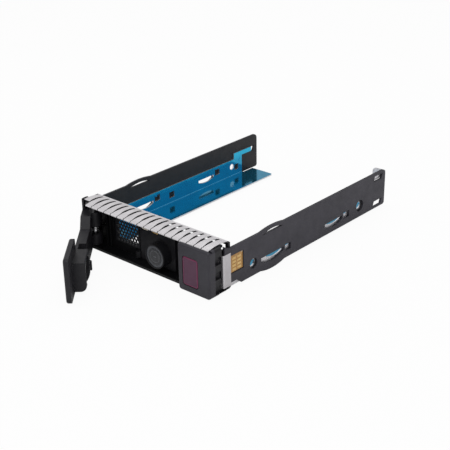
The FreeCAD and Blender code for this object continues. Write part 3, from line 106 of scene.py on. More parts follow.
class Shader:
    """Material with one Principled surface, and short calls for the nodes that feed it."""

    def __init__(self, name: str) -> None:
        """Start the material.

        Args:
            name: Name of the material.
        """
        self.material = bpy.data.materials.new(name)
        self.material.use_nodes = True
        self.tree = self.material.node_tree
        self.surface = self.tree.nodes["Principled BSDF"]

    def node(self, kind: str, **inputs: object) -> bpy.types.Node:
        """Add a node and set its named inputs.

        Args:
            kind: Node type without its "ShaderNode" prefix.
            inputs: Values by input name, with underscores for spaces.

        Returns:
            The new node.
        """
        made = self.tree.nodes.new("ShaderNode" + kind)
        for name, value in inputs.items():
            made.inputs[name.replace("_", " ")].default_value = value
        return made

    def link(self, source: Socket, target: Socket) -> None:
        """Join two sockets."""
        self.tree.links.new(source, target)

    def feed(self, target: Socket, value: Socket | Colour | float) -> None:
        """Give an input a socket's value or a constant.

        Args:
            target: Input that is fed.
            value: Socket, colour or number.
        """
        if isinstance(value, Socket):
            self.link(value, target)
        else:
            target.default_value = (*value, 1.0) if isinstance(value, tuple) else value

    def place(self, stretch: Point = (1.0, 1.0, 1.0)) -> Socket:
        """Object coordinates, stretched along the axes.

        Args:
            stretch: Scale of the coordinates along X, Y and Z.

        Returns:
            The vector's socket.
        """
        mapping = self.node("Mapping", Scale=stretch)
        self.link(self.node("TexCoord").outputs["Object"], mapping.inputs["Vector"])
        return mapping.outputs["Vector"]

    def along(self, axis: Axis) -> Socket:
        """Object coordinate along one axis, in metres.

        Args:
            axis: Axis to read.

        Returns:
            The coordinate's socket.
        """
        split = self.node("SeparateXYZ")
        self.link(self.place(), split.inputs["Vector"])
        return split.outputs[axis.name]

    def noise(self, scale: float, detail: float = 3.0,
              stretch: Point = (1.0, 1.0, 1.0)) -> Socket:
        """Noise on object coordinates.

        Args:
            scale: Scale of the noise.
            detail: Number of its octaves.
            stretch: Scale of the coordinates.

        Returns:
            The noise value's socket.
        """
        made = self.node("TexNoise", Scale=scale, Detail=detail)
        self.link(self.place(stretch), made.inputs["Vector"])
        return made.outputs["Fac"]

    def spread(self, source: Socket, low: float = 0.0, high: float = 1.0,
               start: float = 0.3, end: float = 0.7) -> Socket:
        """Map one range of a value to another.

        Args:
            source: Value to map.
            low: Result at the range's start.
            high: Result at the range's end.
            start: Start of the range.
            end: End of the range.

        Returns:
            The mapped value's socket.
        """
        made = self.node("MapRange", From_Min=start, From_Max=end, To_Min=low, To_Max=high)
        self.link(source, made.inputs["Value"])
        return made.outputs["Result"]

    def calculate(self, operation: Operation, first: Socket,
                  second: Socket | float = 0.0) -> Socket:
        """Work out one value from another or from two.

        Args:
            operation: What is done.
            first: First value.
            second: Second value, which an absolute value leaves out.

        Returns:
            The result's socket.
        """
        made = self.node("Math")
        made.operation = operation.value
        self.link(first, made.inputs[0])
        self.feed(made.inputs[1], second)
        return made.outputs["Value"]

    def product(self, first: Socket, *others: Socket) -> Socket:
        """Multiply values.

        Args:
            first: First value.
            others: Values that it is multiplied by.

        Returns:
            The product's socket.
        """
        for other in others:
            first = self.calculate(Operation.MULTIPLY, first, other)
        return first

    def mix(self, factor: Socket, low: Socket | Colour, high: Socket | Colour) -> Socket:
        """Blend two tones.

        Args:
            factor: Value from 0 to 1.
            low: Tone at 0.
            high: Tone at 1.

        Returns:
            The blended colour's socket.
        """
        made = self.node("Mix")
        made.data_type = "RGBA"
        self.feed(made.inputs["A"], low)
        self.feed(made.inputs["B"], high)
        self.link(factor, made.inputs["Factor"])
        return made.outputs["Result"]

    def blend(self, factor: Socket, low: Socket, high: Socket) -> Socket:
        """Blend two surfaces.

        Args:
            factor: Value from 0 to 1.
            low: Surface at 0.
            high: Surface at 1.

        Returns:
            The blended surface's socket.
        """
        made = self.node("MixShader")
        for source, target in zip((factor, low, high), made.inputs):
            self.link(source, target)
        return made.outputs["Shader"]

    def rounded(self, radius: float) -> Socket:
        """Normal that rounds the edges that it comes to.

        Args:
            radius: Radius of the rounding, in metres.

        Returns:
            The normal's socket.
        """
        made = self.node("Bevel", Radius=radius)
        made.samples = BEVEL_SAMPLES
        return made.outputs["Normal"]

    def bump(self, height: Socket, depth: float, strength: float, normal: Socket) -> Socket:
        """Raise the surface by a height.

        Args:
            height: Value of the height.
            depth: Full height in metres.
            strength: Strength of the relief.
            normal: Normal that the relief adds to.

        Returns:
            The new normal's socket.
        """
        made = self.node("Bump", Strength=strength, Distance=depth)
        self.link(height, made.inputs["Height"])
        self.link(normal, made.inputs["Normal"])
        return made.outputs["Normal"]

    def colour(self, tone: Socket) -> None:
        """Give the surface its colour."""
        self.link(tone, self.surface.inputs["Base Color"])

    def rough(self, value: Socket) -> None:
        """Give the surface its roughness."""
        self.link(value, self.surface.inputs["Roughness"])

    def relief(self, normal: Socket) -> None:
        """Give the surface its normal."""
        self.link(normal, self.surface.inputs["Normal"])

    def cover(self, surface: Socket) -> None:
        """Show a blended surface in place of the Principled one."""
        self.link(surface, self.tree.nodes["Material Output"].inputs["Surface"])

    def set(self, **values: object) -> None:
        """Set constants on the surface's own inputs."""
        for name, value in values.items():
            self.surface.inputs[name.replace("_", " ")].default_value = value


@dataclass(frozen=True)
class Finish(ABC):
    """Two cloudy tones with an uneven polish and softened edges.

    Attributes:
        name: Name of the material.
        dark: Darker tone.
        light: Lighter tone.
        roughness: Middle of the roughness.
        polish: How far the roughness falls below it and rises above it.
        cloud_scale: Scale of the clouds.
        cloud_detail: Octaves of the clouds.
        edge: Radius of the softened edges.
    """

    name: str
    dark: Colour
    light: Colour
    roughness: float = 0.5
    polish: Span = (-0.06, 0.07)
    cloud_scale: float = 90.0
    cloud_detail: float = 4.0
    edge: float = 0.28 * MM

    def tone(self, shader: Shader) -> Socket:
        """Cloudy tone of the material.

        Args:
            shader: Shader that it is made for.

        Returns:
            The colour's socket.
        """
        clouds = shader.noise(self.cloud_scale, self.cloud_detail)
        return shader.mix(shader.spread(clouds), self.dark, self.light)

    def polish_from(self, shader: Shader, source: Socket, *reach: float) -> None:
        """Give the surface a roughness that follows a value.

        Args:
            shader: Shader that it is made for.
            source: Value that it follows.
            reach: Start and end of the value's range, or nothing for a noise's middle.
        """
        low, high = self.polish
        shader.rough(shader.spread(source, self.roughness + low, self.roughness + high, *reach))

    @abstractmethod
    def texture(self, shader: Shader) -> None:
        """Give the surface its polish, relief and shine."""

    @cached_property
    def material(self) -> bpy.types.Material:
        """Finished material, made when it is first asked for.

        Returns:
            The material.
        """
        shader = Shader(self.name)
        shader.colour(self.tone(shader))
        self.texture(shader)
        return shader.material


@dataclass(frozen=True)
class MouldedPlastic(Finish):
    """Injection-moulded plastic with a fine spark-eroded grain.

    Attributes:
        polish_scale: Scale of the uneven polish.
        grain: Depth of the grain.
        grain_scale: Scale of the grain.
        grain_strength: Strength of the grain.
        sheen: Strength of the reflection.
    """

    polish_scale: float = 240.0
    grain: float = 0.010 * MM
    grain_scale: float = 5200.0
    grain_strength: float = 0.8
    sheen: float = 0.35

    def texture(self, shader: Shader) -> None:
        """Give the plastic its polish, grain and sheen.

        Args:
            shader: Shader that it is made for.
        """
        self.polish_from(shader, shader.noise(self.polish_scale))
        shader.relief(shader.bump(shader.noise(self.grain_scale, detail=2.0), self.grain,
                                  self.grain_strength, shader.rounded(self.edge)))
        shader.set(Specular_IOR_Level=self.sheen)


@dataclass(frozen=True)
class RailPlastic(MouldedPlastic):
    """Rail plastic, darker on the side that faces the drive.

    Attributes:
        inner: Tone of that side.
        wall: Distances from the middle at which the tone starts and ends its change.
    """

    inner: Colour = (0.012, 0.012, 0.015)
    wall: Span = (52.4 * MM, 52.8 * MM)

    def tone(self, shader: Shader) -> Socket:
        """Tone that changes from the wall's inner side to its outer side.

        Args:
            shader: Shader that it is made for.

        Returns:
            The colour's socket.
        """
        width = shader.calculate(Operation.ABSOLUTE, shader.along(Axis.X))
        outward = shader.spread(width, 0.0, 1.0, *self.wall)
        return shader.mix(outward, self.inner, super().tone(shader))


@dataclass(frozen=True)
class FramePlastic(MouldedPlastic):
    """Bezel plastic with painted shade, darker in the recess behind the lever and between the
    side's comb teeth.

    Attributes:
        painted_shade: Darkest tone of the painted shade.
        rim: Depths over which the painted shade of the recess comes in.
        block: Places across at which the recess ends beside the button's block.
        cheeks: Distances from the middle at which it ends at the outer cheeks.
        comb_side: Places across at which the painted shade between the comb teeth starts.
        comb_front: Depths at which it starts.
        comb_shade_share: Share of the painted shade's darkest tone between the comb teeth.
    """

    painted_shade: Colour = (0.004, 0.004, 0.005)
    rim: Span = (0.6 * MM, 3.4 * MM)
    block: Span = (29.6 * MM, 29.8 * MM)
    cheeks: Span = (52.2 * MM, 52.5 * MM)
    comb_side: Span = (47.0 * MM, 47.5 * MM)
    comb_front: Span = (4.9 * MM, 5.3 * MM)
    comb_shade_share: float = 0.8

    def tone(self, shader: Shader) -> Socket:
        """Tone with painted shade behind the opening's rim and between the comb teeth.

        Args:
            shader: Shader that it is made for.

        Returns:
            The colour's socket.
        """
        across, inward = shader.along(Axis.X), shader.along(Axis.Y)
        from_middle = shader.calculate(Operation.ABSOLUTE, across)
        # painted shade: darkens the recess behind the lever and the gaps between the comb teeth
        recess = shader.product(shader.spread(inward, 0.0, 1.0, *self.rim),
                                shader.spread(across, 1.0, 0.0, *self.block),
                                shader.spread(from_middle, 1.0, 0.0, *self.cheeks))
        comb = shader.product(shader.spread(across, 0.0, self.comb_shade_share, *self.comb_side),
                              shader.spread(inward, 0.0, 1.0, *self.comb_front))
        # depth here is the strength of the painted shade
        depth = shader.calculate(Operation.MAXIMUM, recess, comb)
        return shader.mix(depth, super().tone(shader), self.painted_shade)


@dataclass(frozen=True)
class ButtonPlastic(MouldedPlastic):
    """Button plastic with a painted highlight, a brighter line round its face.

    Attributes:
        rim_highlight: Tone of the line, a painted highlight.
        width: Places of the face's left and right ends.
        height: Heights of the face's lower and upper ends.
        line: Width of the line with its blend into the face.
        line_fade: Width of that blend.
    """

    rim_highlight: Colour = (0.17, 0.030, 0.080)
    width: Span = (33.7 * MM, 44.5 * MM)
    height: Span = (4.2 * MM, 20.9 * MM)
    line: float = 0.85 * MM
    line_fade: float = 0.255 * MM

    def within(self, shader: Shader, axis: Axis, face: Span) -> Socket:
        """Value that is 1 inside the line and 0 on it, along one axis.

        Args:
            shader: Shader that it is made for.
            axis: Axis to read.
            face: Start and end of the face along it.

        Returns:
            The value's socket.
        """
        middle, reach = (face[0] + face[1]) / 2, (face[1] - face[0]) / 2
        offset = shader.calculate(Operation.SUBTRACT, shader.along(axis), middle)
        return shader.spread(shader.calculate(Operation.ABSOLUTE, offset), 1.0, 0.0,
                             reach - self.line, reach - self.line + self.line_fade)

    def tone(self, shader: Shader) -> Socket:
        """Tone of the face inside its painted highlight line.

        Args:
            shader: Shader that it is made for.

        Returns:
            The colour's socket.
        """
        # painted highlight: a brighter line runs round the button's face
        inside = shader.product(self.within(shader, Axis.X, self.width),
                                self.within(shader, Axis.Z, self.height))
        return shader.mix(inside, self.rim_highlight, super().tone(shader))


@dataclass(frozen=True)
class SpringSteel(Finish):
    """Rolled sheet metal with fine lines along one axis.

    Attributes:
        along: Axis of the lines.
        metal: Share of metal in the reflection.
        line_scale: Scale of the lines across themselves.
        line_stretch: Their scale along themselves, as a share of it.
        line_depth: Depth of the lines.
        line_strength: Strength of their relief.
    """

    roughness: float = 0.33
    polish: Span = (-0.08, 0.12)
    cloud_scale: float = 140.0
    edge: float = 0.06 * MM
    along: Axis = Axis.X
    metal: float = 1.0
    line_scale: float = 3600.0
    line_stretch: float = 0.04
    line_depth: float = 0.004 * MM
    line_strength: float = 0.6

    def texture(self, shader: Shader) -> None:
        """Give the sheet its rolled lines and its metal shine.

        Args:
            shader: Shader that it is made for.
        """
        stretch = tuple(self.line_stretch if part else 1.0 for part in self.along.value)
        lines = shader.noise(self.line_scale, stretch=stretch)
        self.polish_from(shader, lines)
        shader.relief(shader.bump(lines, self.line_depth, self.line_strength,
                                  shader.rounded(self.edge)))
        shader.set(Metallic=self.metal)


@dataclass(frozen=True)
class GlossFilm(Finish):
    """Glossy tinted film laid on bright sheet, paler above the fold's wall.

    Attributes:
        pale: Tone above the wall.
        fade: Heights over which the film turns paler.
        scuff_scale: Scale of the scuffs.
        scuff_stretch: Their scale along the caddy, as a share of it.
        scuffed: Range of the scuffs that changes the polish.
        wave_scale: Scale of the slow waves.
        wave_depth: Depth of the waves.
        wave_strength: Strength of the waves.
        metal: Share of metal in the reflection.
        coat: Share of the clear coat.
        coat_roughness: Roughness of the coat.
    """

    roughness: float = 0.17
    polish: Span = (-0.07, 0.07)
    cloud_scale: float = 60.0
    cloud_detail: float = 3.0
    edge: float = 0.1 * MM
    pale: Colour = (0.006, 0.48, 0.76)
    fade: Span = (12.2 * MM, 16.2 * MM)
    scuff_scale: float = 900.0
    scuff_stretch: float = 0.12
    scuffed: Span = (0.45, 0.75)
    wave_scale: float = 110.0
    wave_depth: float = 0.04 * MM
    wave_strength: float = 0.2
    metal: float = 0.9
    coat: float = 0.5
    coat_roughness: float = 0.06

    def tone(self, shader: Shader) -> Socket:
        """Tone that turns paler above the wall.

        Args:
            shader: Shader that it is made for.

        Returns:
            The colour's socket.
        """
        above = shader.spread(shader.along(Axis.Z), 0.0, 1.0, *self.fade)
        return shader.mix(above, super().tone(shader), self.pale)

    def texture(self, shader: Shader) -> None:
        """Give the film its scuffs along the caddy, its slow waves and its gloss.

        Args:
            shader: Shader that it is made for.
        """
        scuffs = shader.noise(self.scuff_scale, detail=4.0, stretch=(1.0, self.scuff_stretch, 1.0))
        self.polish_from(shader, scuffs, *self.scuffed)
        shader.relief(shader.bump(shader.noise(self.wave_scale, detail=2.0), self.wave_depth,
                                  self.wave_strength, shader.rounded(self.edge)))
        shader.set(Metallic=self.metal, Coat_Weight=self.coat, Coat_Roughness=self.coat_roughness)


@dataclass(frozen=True)
class ClearPlastic(Finish):
    """Smooth plastic under a thin clear coat.

    Attributes:
        polish_scale: Scale of the uneven polish.
        coat: Share of the clear coat.
        coat_roughness: Roughness of the coat.
        sheen: Strength of the reflection.
    """

    roughness: float = 0.22
    polish: Span = (-0.05, 0.08)
    cloud_scale: float = 420.0
    cloud_detail: float = 3.0
    edge: float = 0.15 * MM
    polish_scale: float = 1500.0
    coat: float = 0.5
    coat_roughness: float = 0.1
    sheen: float = 0.5

    def texture(self, shader: Shader) -> None:
        """Give the plastic its polish and its coat.

        Args:
            shader: Shader that it is made for.
        """
        self.polish_from(shader, shader.noise(self.polish_scale, detail=2.0))
        shader.relief(shader.rounded(self.edge))
        shader.set(Coat_Weight=self.coat, Coat_Roughness=self.coat_roughness,
                   Specular_IOR_Level=self.sheen)


@dataclass(frozen=True)
class Finishes:
    """Every finish of the caddy, by what it is put on."""

    frame: Finish = FramePlastic("bezel_black", (0.029, 0.028, 0.035), (0.039, 0.037, 0.047),
                                 roughness=0.42)
    # black plastic of the parts in the recess, made darker than the frame as painted shade of the
    # recess
    black: Finish = MouldedPlastic("recess_black_painted_shade", (0.010, 0.010, 0.012), (0.016, 0.016, 0.019),
                                   roughness=0.42, sheen=0.25)
    rail: Finish = RailPlastic("rail_black", (0.034, 0.032, 0.042), (0.047, 0.044, 0.057),
                               roughness=0.46)
    lever: Finish = MouldedPlastic("lever_black", (0.012, 0.012, 0.015), (0.020, 0.019, 0.023),
                                   roughness=0.40, sheen=0.3)
    button: Finish = ButtonPlastic("button_maroon", (0.080, 0.028, 0.058), (0.098, 0.036, 0.072),
                                   roughness=0.4)
    board: Finish = MouldedPlastic("circuit_board", (0.015, 0.085, 0.035), (0.020, 0.11, 0.05),
                                   roughness=0.35)
    spring: Finish = SpringSteel("contact_spring", (0.74, 0.72, 0.74), (0.84, 0.82, 0.84),
                                 roughness=0.46, along=Axis.X, metal=0.75)
    clip: Finish = SpringSteel("side_spring", (0.56, 0.54, 0.56), (0.66, 0.64, 0.66),
                               roughness=0.34, along=Axis.Z, metal=0.85)
    bright: Finish = SpringSteel("bright_steel", (0.72, 0.72, 0.74), (0.84, 0.84, 0.86),
                                 roughness=0.2, along=Axis.Z)
    sheet: Finish = SpringSteel("bracket_sheet", (0.72, 0.71, 0.74), (0.82, 0.81, 0.84),
                                roughness=0.34, along=Axis.Y, metal=0.9)
    fold: Finish = SpringSteel("film_fold", (0.10, 0.45, 0.68), (0.14, 0.52, 0.75),
                               roughness=0.25, along=Axis.Y)
    pads: Finish = SpringSteel("gold_pads", (0.68, 0.45, 0.17), (0.80, 0.56, 0.25),
                               roughness=0.3, along=Axis.Z, metal=0.8)
    film: Finish = GlossFilm("blue_film", (0.003, 0.33, 0.58), (0.005, 0.41, 0.68))
    flex: Finish = ClearPlastic("amber_flex", (0.40, 0.19, 0.030), (0.52, 0.27, 0.055),
                                roughness=0.32)
    edge: Finish = ClearPlastic("pale_edge", (0.70, 0.62, 0.50), (0.80, 0.74, 0.64),
                                roughness=0.35)
    guide: Finish = ClearPlastic("smoky_guide", (0.046, 0.050, 0.060), (0.070, 0.075, 0.088),
                                 roughness=0.28, coat=0.3)
    window: Finish = ClearPlastic("smoky_window", (0.012, 0.013, 0.017), (0.020, 0.021, 0.027),
                                  roughness=0.26, coat=0.3)
    mark: Finish = ClearPlastic("printed_mark", (0.10, 0.105, 0.12), (0.14, 0.145, 0.16),
                                roughness=0.5, coat=0.0)


# ---- pieces


def dress(finish: Finish, *nodes: str) -> None:
    """Give frame nodes their finish.

    Args:
        finish: Finish that they show.
        nodes: Names of the frame's nodes.
    """
    for node in nodes:
        mesh = frame["nodes"][node].data
        mesh.materials.clear()
        mesh.materials.append(finish.material)
        log.info("dressed %s", node)


def show(name: str, data: bpy.types.ID) -> bpy.types.Object:
    """Add an object to the scene.

    Args:
        name: Name of the object.
        data: Its mesh, lamp or camera.

    Returns:
        The new object.
    """
    made = bpy.data.objects.new(name, data)
    bpy.context.scene.collection.objects.link(made)
    return made


@dataclass
class Piece:
    """New mesh that rides on a body of the caddy.

    Attributes:
        name: Name of the piece.
        slot: Material slot meant for it, not used.
        body: Body that it rides on.
        mesh: Mesh that its shapes are added to.
    """

    name: str
    slot: Slot
    body: str = "chassis"
    mesh: bmesh.types.BMesh = field(default_factory=bmesh.new)

    def plate(self, low: Point, high: Point, edge: float = 0.0) -> None:
        """Add a plate between two corners.

        Args:
            low: Lowest corner.
            high: Highest corner.
            edge: Radius of its edges.
        """
        middle, size = (Vector(low) + Vector(high)) / 2, Vector(high) - Vector(low)
        place = Matrix.Translation(middle) @ Matrix.Diagonal((*size, 1.0))
        made = bmesh.ops.create_cube(self.mesh, size=1.0, matrix=place)
        if edge:
            edges = list({line for point in made["verts"] for line in point.link_edges})
            bmesh.ops.bevel(self.mesh, geom=edges, offset=edge, offset_type="OFFSET",
                            segments=2, profile=0.5, affect="EDGES", clamp_overlap=True,
                            material=-1)

    def turned(self, outline: list[Point], centre: Point, axis: Axis, steps: int = 48,
               angle: float = 2 * math.pi, rise: float = 0.0) -> None:
        """Turn a closed outline about an axis.

        Args:
            outline: Corners of the outline.
            centre: Point on the axis.
            axis: Direction of the axis.
            steps: Steps of the turn.
            angle: Angle of the whole turn.
            rise: Climb along the axis over the whole turn.
        """
        points = [self.mesh.verts.new(corner) for corner in outline]
        lines = [self.mesh.edges.new((points[i - 1], points[i])) for i in range(len(points))]
        climb = Vector(axis.value) * rise / steps
        full = math.isclose(abs(angle), 2 * math.pi) and not rise
        made = bmesh.ops.spin(self.mesh, geom=points + lines, cent=centre, axis=axis.value,
                              dvec=climb, angle=angle, steps=steps, use_merge=full,
                              use_duplicate=False)
        if not full:
            self.mesh.faces.new(points)
            last = [item for item in made["geom_last"] if isinstance(item, bmesh.types.BMVert)]
            bmesh.ops.contextual_create(self.mesh, geom=last)
        bmesh.ops.recalc_face_normals(self.mesh, faces=self.mesh.faces)

    def rod(self, start: Point, end: Point, radius: float, sides: int = 14) -> None:
        """Add a round rod between two points.

        Args:
            start: Centre of its first end.
            end: Centre of its last end.
            radius: Its radius.
            sides: Facets round it.
        """
        middle, along = (Vector(start) + Vector(end)) / 2, Vector(end) - Vector(start)
        turn = along.to_track_quat("Z", "Y").to_matrix().to_4x4()
        bmesh.ops.create_cone(self.mesh, cap_ends=True, segments=sides, radius1=radius,
                              radius2=radius, depth=along.length,
                              matrix=Matrix.Translation(middle) @ turn)

    def put(self, finish: Finish, *nodes: str) -> None:
        """Put the piece in the scene.

        Args:
            finish: Finish that it shows.
            nodes: Frame nodes that it stands for.
        """
        data = bpy.data.meshes.new(self.name)
        self.mesh.to_mesh(data)
        self.mesh.free()
        data.materials.append(finish.material)
        data.shade_smooth()
        data.set_sharp_from_angle(angle=SHARP_ANGLE)
        piece = show(self.name, data)
        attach(piece, self.body)
        if nodes:
            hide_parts(*nodes)
        log.info("piece %s", self.name)


@dataclass(frozen=True)
class ReturnCoil:
    """Round-wire return coil on the lever's pin.

    Attributes:
        radius: Radius of the coil at the middle of its wire.
        wire: Radius of the wire.
        pitch: Climb of one turn.
        turns: Number of turns.
        sides: Facets round the wire.
        steps: Steps of one turn.
        leg_gap: Gap between the lower leg and the end of its room.
    """

    radius: float = 2.3 * MM
    wire: float = 0.4 * MM
    pitch: float = 1.0 * MM
    turns: int = 3
    sides: int = 14
    steps: int = 36
    leg_gap: float = 0.02 * MM

    def build(self, finishes: Finishes) -> None:
        """Wind the coil and add its two legs.

        Args:
            finishes: Finishes of the caddy.
        """
        low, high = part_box("lever_torsion_spring")
        pin_low, pin_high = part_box("pivot_pin")
        x, y = (pin_low[0] + pin_high[0]) / 2, (pin_low[1] + pin_high[1]) / 2
        base = low[2] + self.wire
        top = base + self.pitch * self.turns
        side = x + self.radius
        coil = Piece("return_coil", Slot.BRIGHT_STEEL)
        bends = [2 * math.pi * facet / self.sides for facet in range(self.sides)]
        section = [(side + self.wire * math.cos(bend), y, base + self.wire * math.sin(bend))
                   for bend in bends]
        coil.turned(section, (x, y, base), Axis.Z, self.steps * self.turns,
                    2 * math.pi * self.turns, self.pitch * self.turns)
        coil.rod((side, y, top), (side, high[1], top), self.wire)
        coil.rod((side, y, base), (side, low[1] + self.leg_gap, base), self.wire)
        coil.put(finishes.bright, "lever_torsion_spring")


@dataclass(frozen=True)
class ContactPads:
    """Gold pads on the contact flex, and the flex's pale upper edge.

    Attributes:
        columns: Number of pads along the flex.
        rows: Number of pads up the flex.
        pad_width: Width of a pad along the flex.
        pad_height: Height of a pad.
        column_pitch: Distance between columns.
        row_pitch: Distance between rows.
        back_margin: Bare flex behind the last column's room.
        low_margin: Height below the room that the rows are centred in.
        high_margin: Height above that room.
        lift: Thickness of the pads and of the pale edge.
        via: Radius of the round via above a pad.
        via_rise: Height of the via's middle above its pad.
        edge_front: Start of the pale edge, back from the flex's front end.
        edge_back: End of the pale edge, short of the flex's rear end.
        edge_foot: Lower side of the pale edge, down from the flex's top.
        edge_top: Upper side of the pale edge, down from the flex's top.
    """

    columns: int = 2
    rows: int = 4
    pad_width: float = 2.9 * MM
    pad_height: float = 1.35 * MM
    column_pitch: float = 4.1 * MM
    row_pitch: float = 2.15 * MM
    back_margin: float = 0.9 * MM
    low_margin: float = 0.4 * MM
    high_margin: float = 1.2 * MM
    lift: float = 0.04 * MM
    via: float = 0.28 * MM
    via_rise: float = 0.275 * MM
    edge_front: float = 13.2 * MM
    edge_back: float = 0.3 * MM
    edge_foot: float = 0.7 * MM
    edge_top: float = 0.1 * MM

    def build(self, finishes: Finishes) -> None:
        """Lay the pads and the edge on the flex.

        Args:
            finishes: Finishes of the caddy.
        """
        low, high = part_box("flex_circuit")
        self.lay_pads(finishes.pads, low, high)
        edge = Piece("flex_edge", Slot.CONTACT_FLEX)
        edge.plate((high[0], low[1] + self.edge_front, high[2] - self.edge_foot),
                   (high[0] + self.lift, high[1] - self.edge_back, high[2] - self.edge_top))
        edge.put(finishes.edge)

    def lay_pads(self, finish: Finish, low: Point, high: Point) -> None:
        """Lay the rows of pads, each with the round via above it.

        Args:
            finish: Finish of the pads.
            low: Lowest corner of the flex.
            high: Highest corner of the flex.
        """
        face, top = high[0], high[0] + self.lift
        pads = Piece("contact_pads", Slot.CONTACT_FLEX)
        middle_y = high[1] - self.column_pitch * self.columns / 2 - self.back_margin
        middle_z = (low[2] + self.low_margin + (high[2] - self.high_margin)) / 2
        for column in range(self.columns):
            y = middle_y + (column - (self.columns - 1) / 2) * self.column_pitch
            for row in range(self.rows):
                z = middle_z + (row - (self.rows - 1) / 2) * self.row_pitch
                pads.plate((face, y - self.pad_width / 2, z - self.pad_height / 2),
                           (top, y + self.pad_width / 2, z + self.pad_height / 2))
                spot = z + self.pad_height / 2 + self.via_rise
                pads.rod((face, y, spot), (top, y, spot), self.via)
        pads.put(finish)


@dataclass(frozen=True)
class SlotContacts:
    """Gold and white strips in the indicator panel's two slots.

    Attributes:
        length: Length of a strip.
        height: Height of a strip.
        pitch: Distance between the two.
        inset: Start of the first one from the panel's left end.
        drop: Top of the strips, down from the panel's top.
        thickness: Thickness of a strip.
        depth: Distance of the strips' faces from the panel's rear face.
        edge: Radius of a strip's edges.
    """

    length: float = 4.6 * MM
    height: float = 0.9 * MM
    pitch: float = 8.0 * MM
    inset: float = 1.7 * MM
    drop: float = 3.3 * MM
    thickness: float = 0.3 * MM
    depth: float = 1.4 * MM
    edge: float = 0.05 * MM

    def build(self, finishes: Finishes) -> None:
        """Set the strips in the slots.

        Args:
            finishes: Finishes of the caddy.
        """
        low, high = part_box("indicator_housing")
        back, top = high[1] - self.depth + self.thickness, high[2] - self.drop
        for place, (name, finish) in enumerate((("slot_strip_pale", finishes.edge),
                                                ("slot_strip_gold", finishes.pads))):
            strip = Piece(name, Slot.CONTACT_FLEX)
            left = low[0] + self.inset + place * self.pitch
            strip.plate((left, back - self.thickness, top - self.height),
                        (left + self.length, back, top), self.edge)
            strip.put(finish)


@dataclass(frozen=True)
class DiscMark:
    """Plain printed ring and bar on the indicator disc.

    Attributes:
        ring: Inner radius of the ring.
        line: Width of the ring's line.
        bar_length: Length of the bar.
        bar_height: Height of the bar.
        lift: Thickness of the print.
    """

    ring: float = 3.3 * MM
    line: float = 0.28 * MM
    bar_length: float = 1.9 * MM
    bar_height: float = 0.5 * MM
    lift: float = 0.03 * MM

    def build(self, finishes: Finishes) -> None:
        """Print the mark on the disc's face.

        Args:
            finishes: Finishes of the caddy.
        """
        low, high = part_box("indicator_disc")
        x, z, face = (low[0] + high[0]) / 2, (low[2] + high[2]) / 2, low[1]
        inner, outer, front = x + self.ring, x + self.ring + self.line, face - self.lift
        mark = Piece("disc_mark", Slot.LIGHT_GUIDE)
        mark.turned([(inner, front, z), (outer, front, z), (outer, face, z), (inner, face, z)],
                    (x, face, z), Axis.Y)
        mark.plate((x - self.bar_length / 2, front, z - self.bar_height / 2),
                   (x + self.bar_length / 2, face, z + self.bar_height / 2))
        mark.put(finishes.mark)


@dataclass(frozen=True)
class FoldLines:
    """Bright line where each film turns from the wall to the flange.

    Attributes:
        radius: Radius of the line.
        film: Thickness of the film.
        lift_share: How far its middle lies off the film, as a share of the radius.
        front_gap: Bare film before the line.
        rear: Rear end of the line.
        sides: Facets round it.
    """

    radius: float = 0.22 * MM
    film: float = 0.15 * MM
    lift_share: float = 0.6
    front_gap: float = 0.4 * MM
    rear: float = 147.0 * MM
    sides: int = 10

    def build(self, finishes: Finishes) -> None:
        """Lay one line along each fold.

        Args:
            finishes: Finishes of the caddy.
        """
        inset = self.film + self.lift_share * self.radius
        for side in Side:
            low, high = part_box(f"{side.word}_film")
            wall = low[0] if side is Side.LEFT else high[0]
            x, z = wall - side.value * inset, low[2] + inset
            line = Piece(f"{side.word}_fold_line", Slot.BLUE_FILM)
            line.rod((x, low[1] + self.front_gap, z), (x, self.rear, z), self.radius, self.sides)
            line.put(finishes.fold)


@dataclass(frozen=True)
class Bezel:
    """Moulded front frame with its grille, indicator, button, latch and springs."""

    pads: ContactPads = ContactPads()
    strips: SlotContacts = SlotContacts()
    mark: DiscMark = DiscMark()

    def build(self, finishes: Finishes) -> None:
        """Dress the pieces of the front.

        Args:
            finishes: Finishes of the caddy.
        """
        dress(finishes.frame, "bezel_frame")
        # the housing, grille and latch slide take the darker black that paints the recess's shade
        dress(finishes.black, "indicator_housing", "vent_grille", "latch_slide")
        dress(finishes.button, "release_button")
        dress(finishes.guide, "ring_light_guide")
        dress(finishes.window, "indicator_disc")
        dress(finishes.board, "led_board")
        dress(finishes.flex, "flex_circuit")
        dress(finishes.spring, "emi_top_spring")
        dress(finishes.clip, "emi_side_spring")
        dress(finishes.bright, "pivot_pin", "button_spring", "latch_spring")
        for part in (self.pads, self.strips, self.mark):
            part.build(finishes)


@dataclass(frozen=True)
class Lever:
    """Swinging lever with its ring lens and its return coil."""

    coil: ReturnCoil = ReturnCoil()

    def build(self, finishes: Finishes) -> None:
        """Dress the lever.

        Args:
            finishes: Finishes of the caddy.
        """
        dress(finishes.lever, "release_lever", "lever_centre_plug")
        dress(finishes.guide, "lever_light_ring")
        self.coil.build(finishes)


@dataclass(frozen=True)
class Rails:
    """Side rails with their sheet brackets and film."""

    folds: FoldLines = FoldLines()

    def build(self, finishes: Finishes) -> None:
        """Dress both sides.

        Args:
            finishes: Finishes of the caddy.
        """
        for side in Side:
            dress(finishes.rail, f"{side.word}_rail")
            dress(finishes.sheet, f"{side.word}_bracket")
            dress(finishes.film, f"{side.word}_film", f"{side.word}_bracket_rivets")
        self.folds.build(finishes)


# ---- light, floor and camera


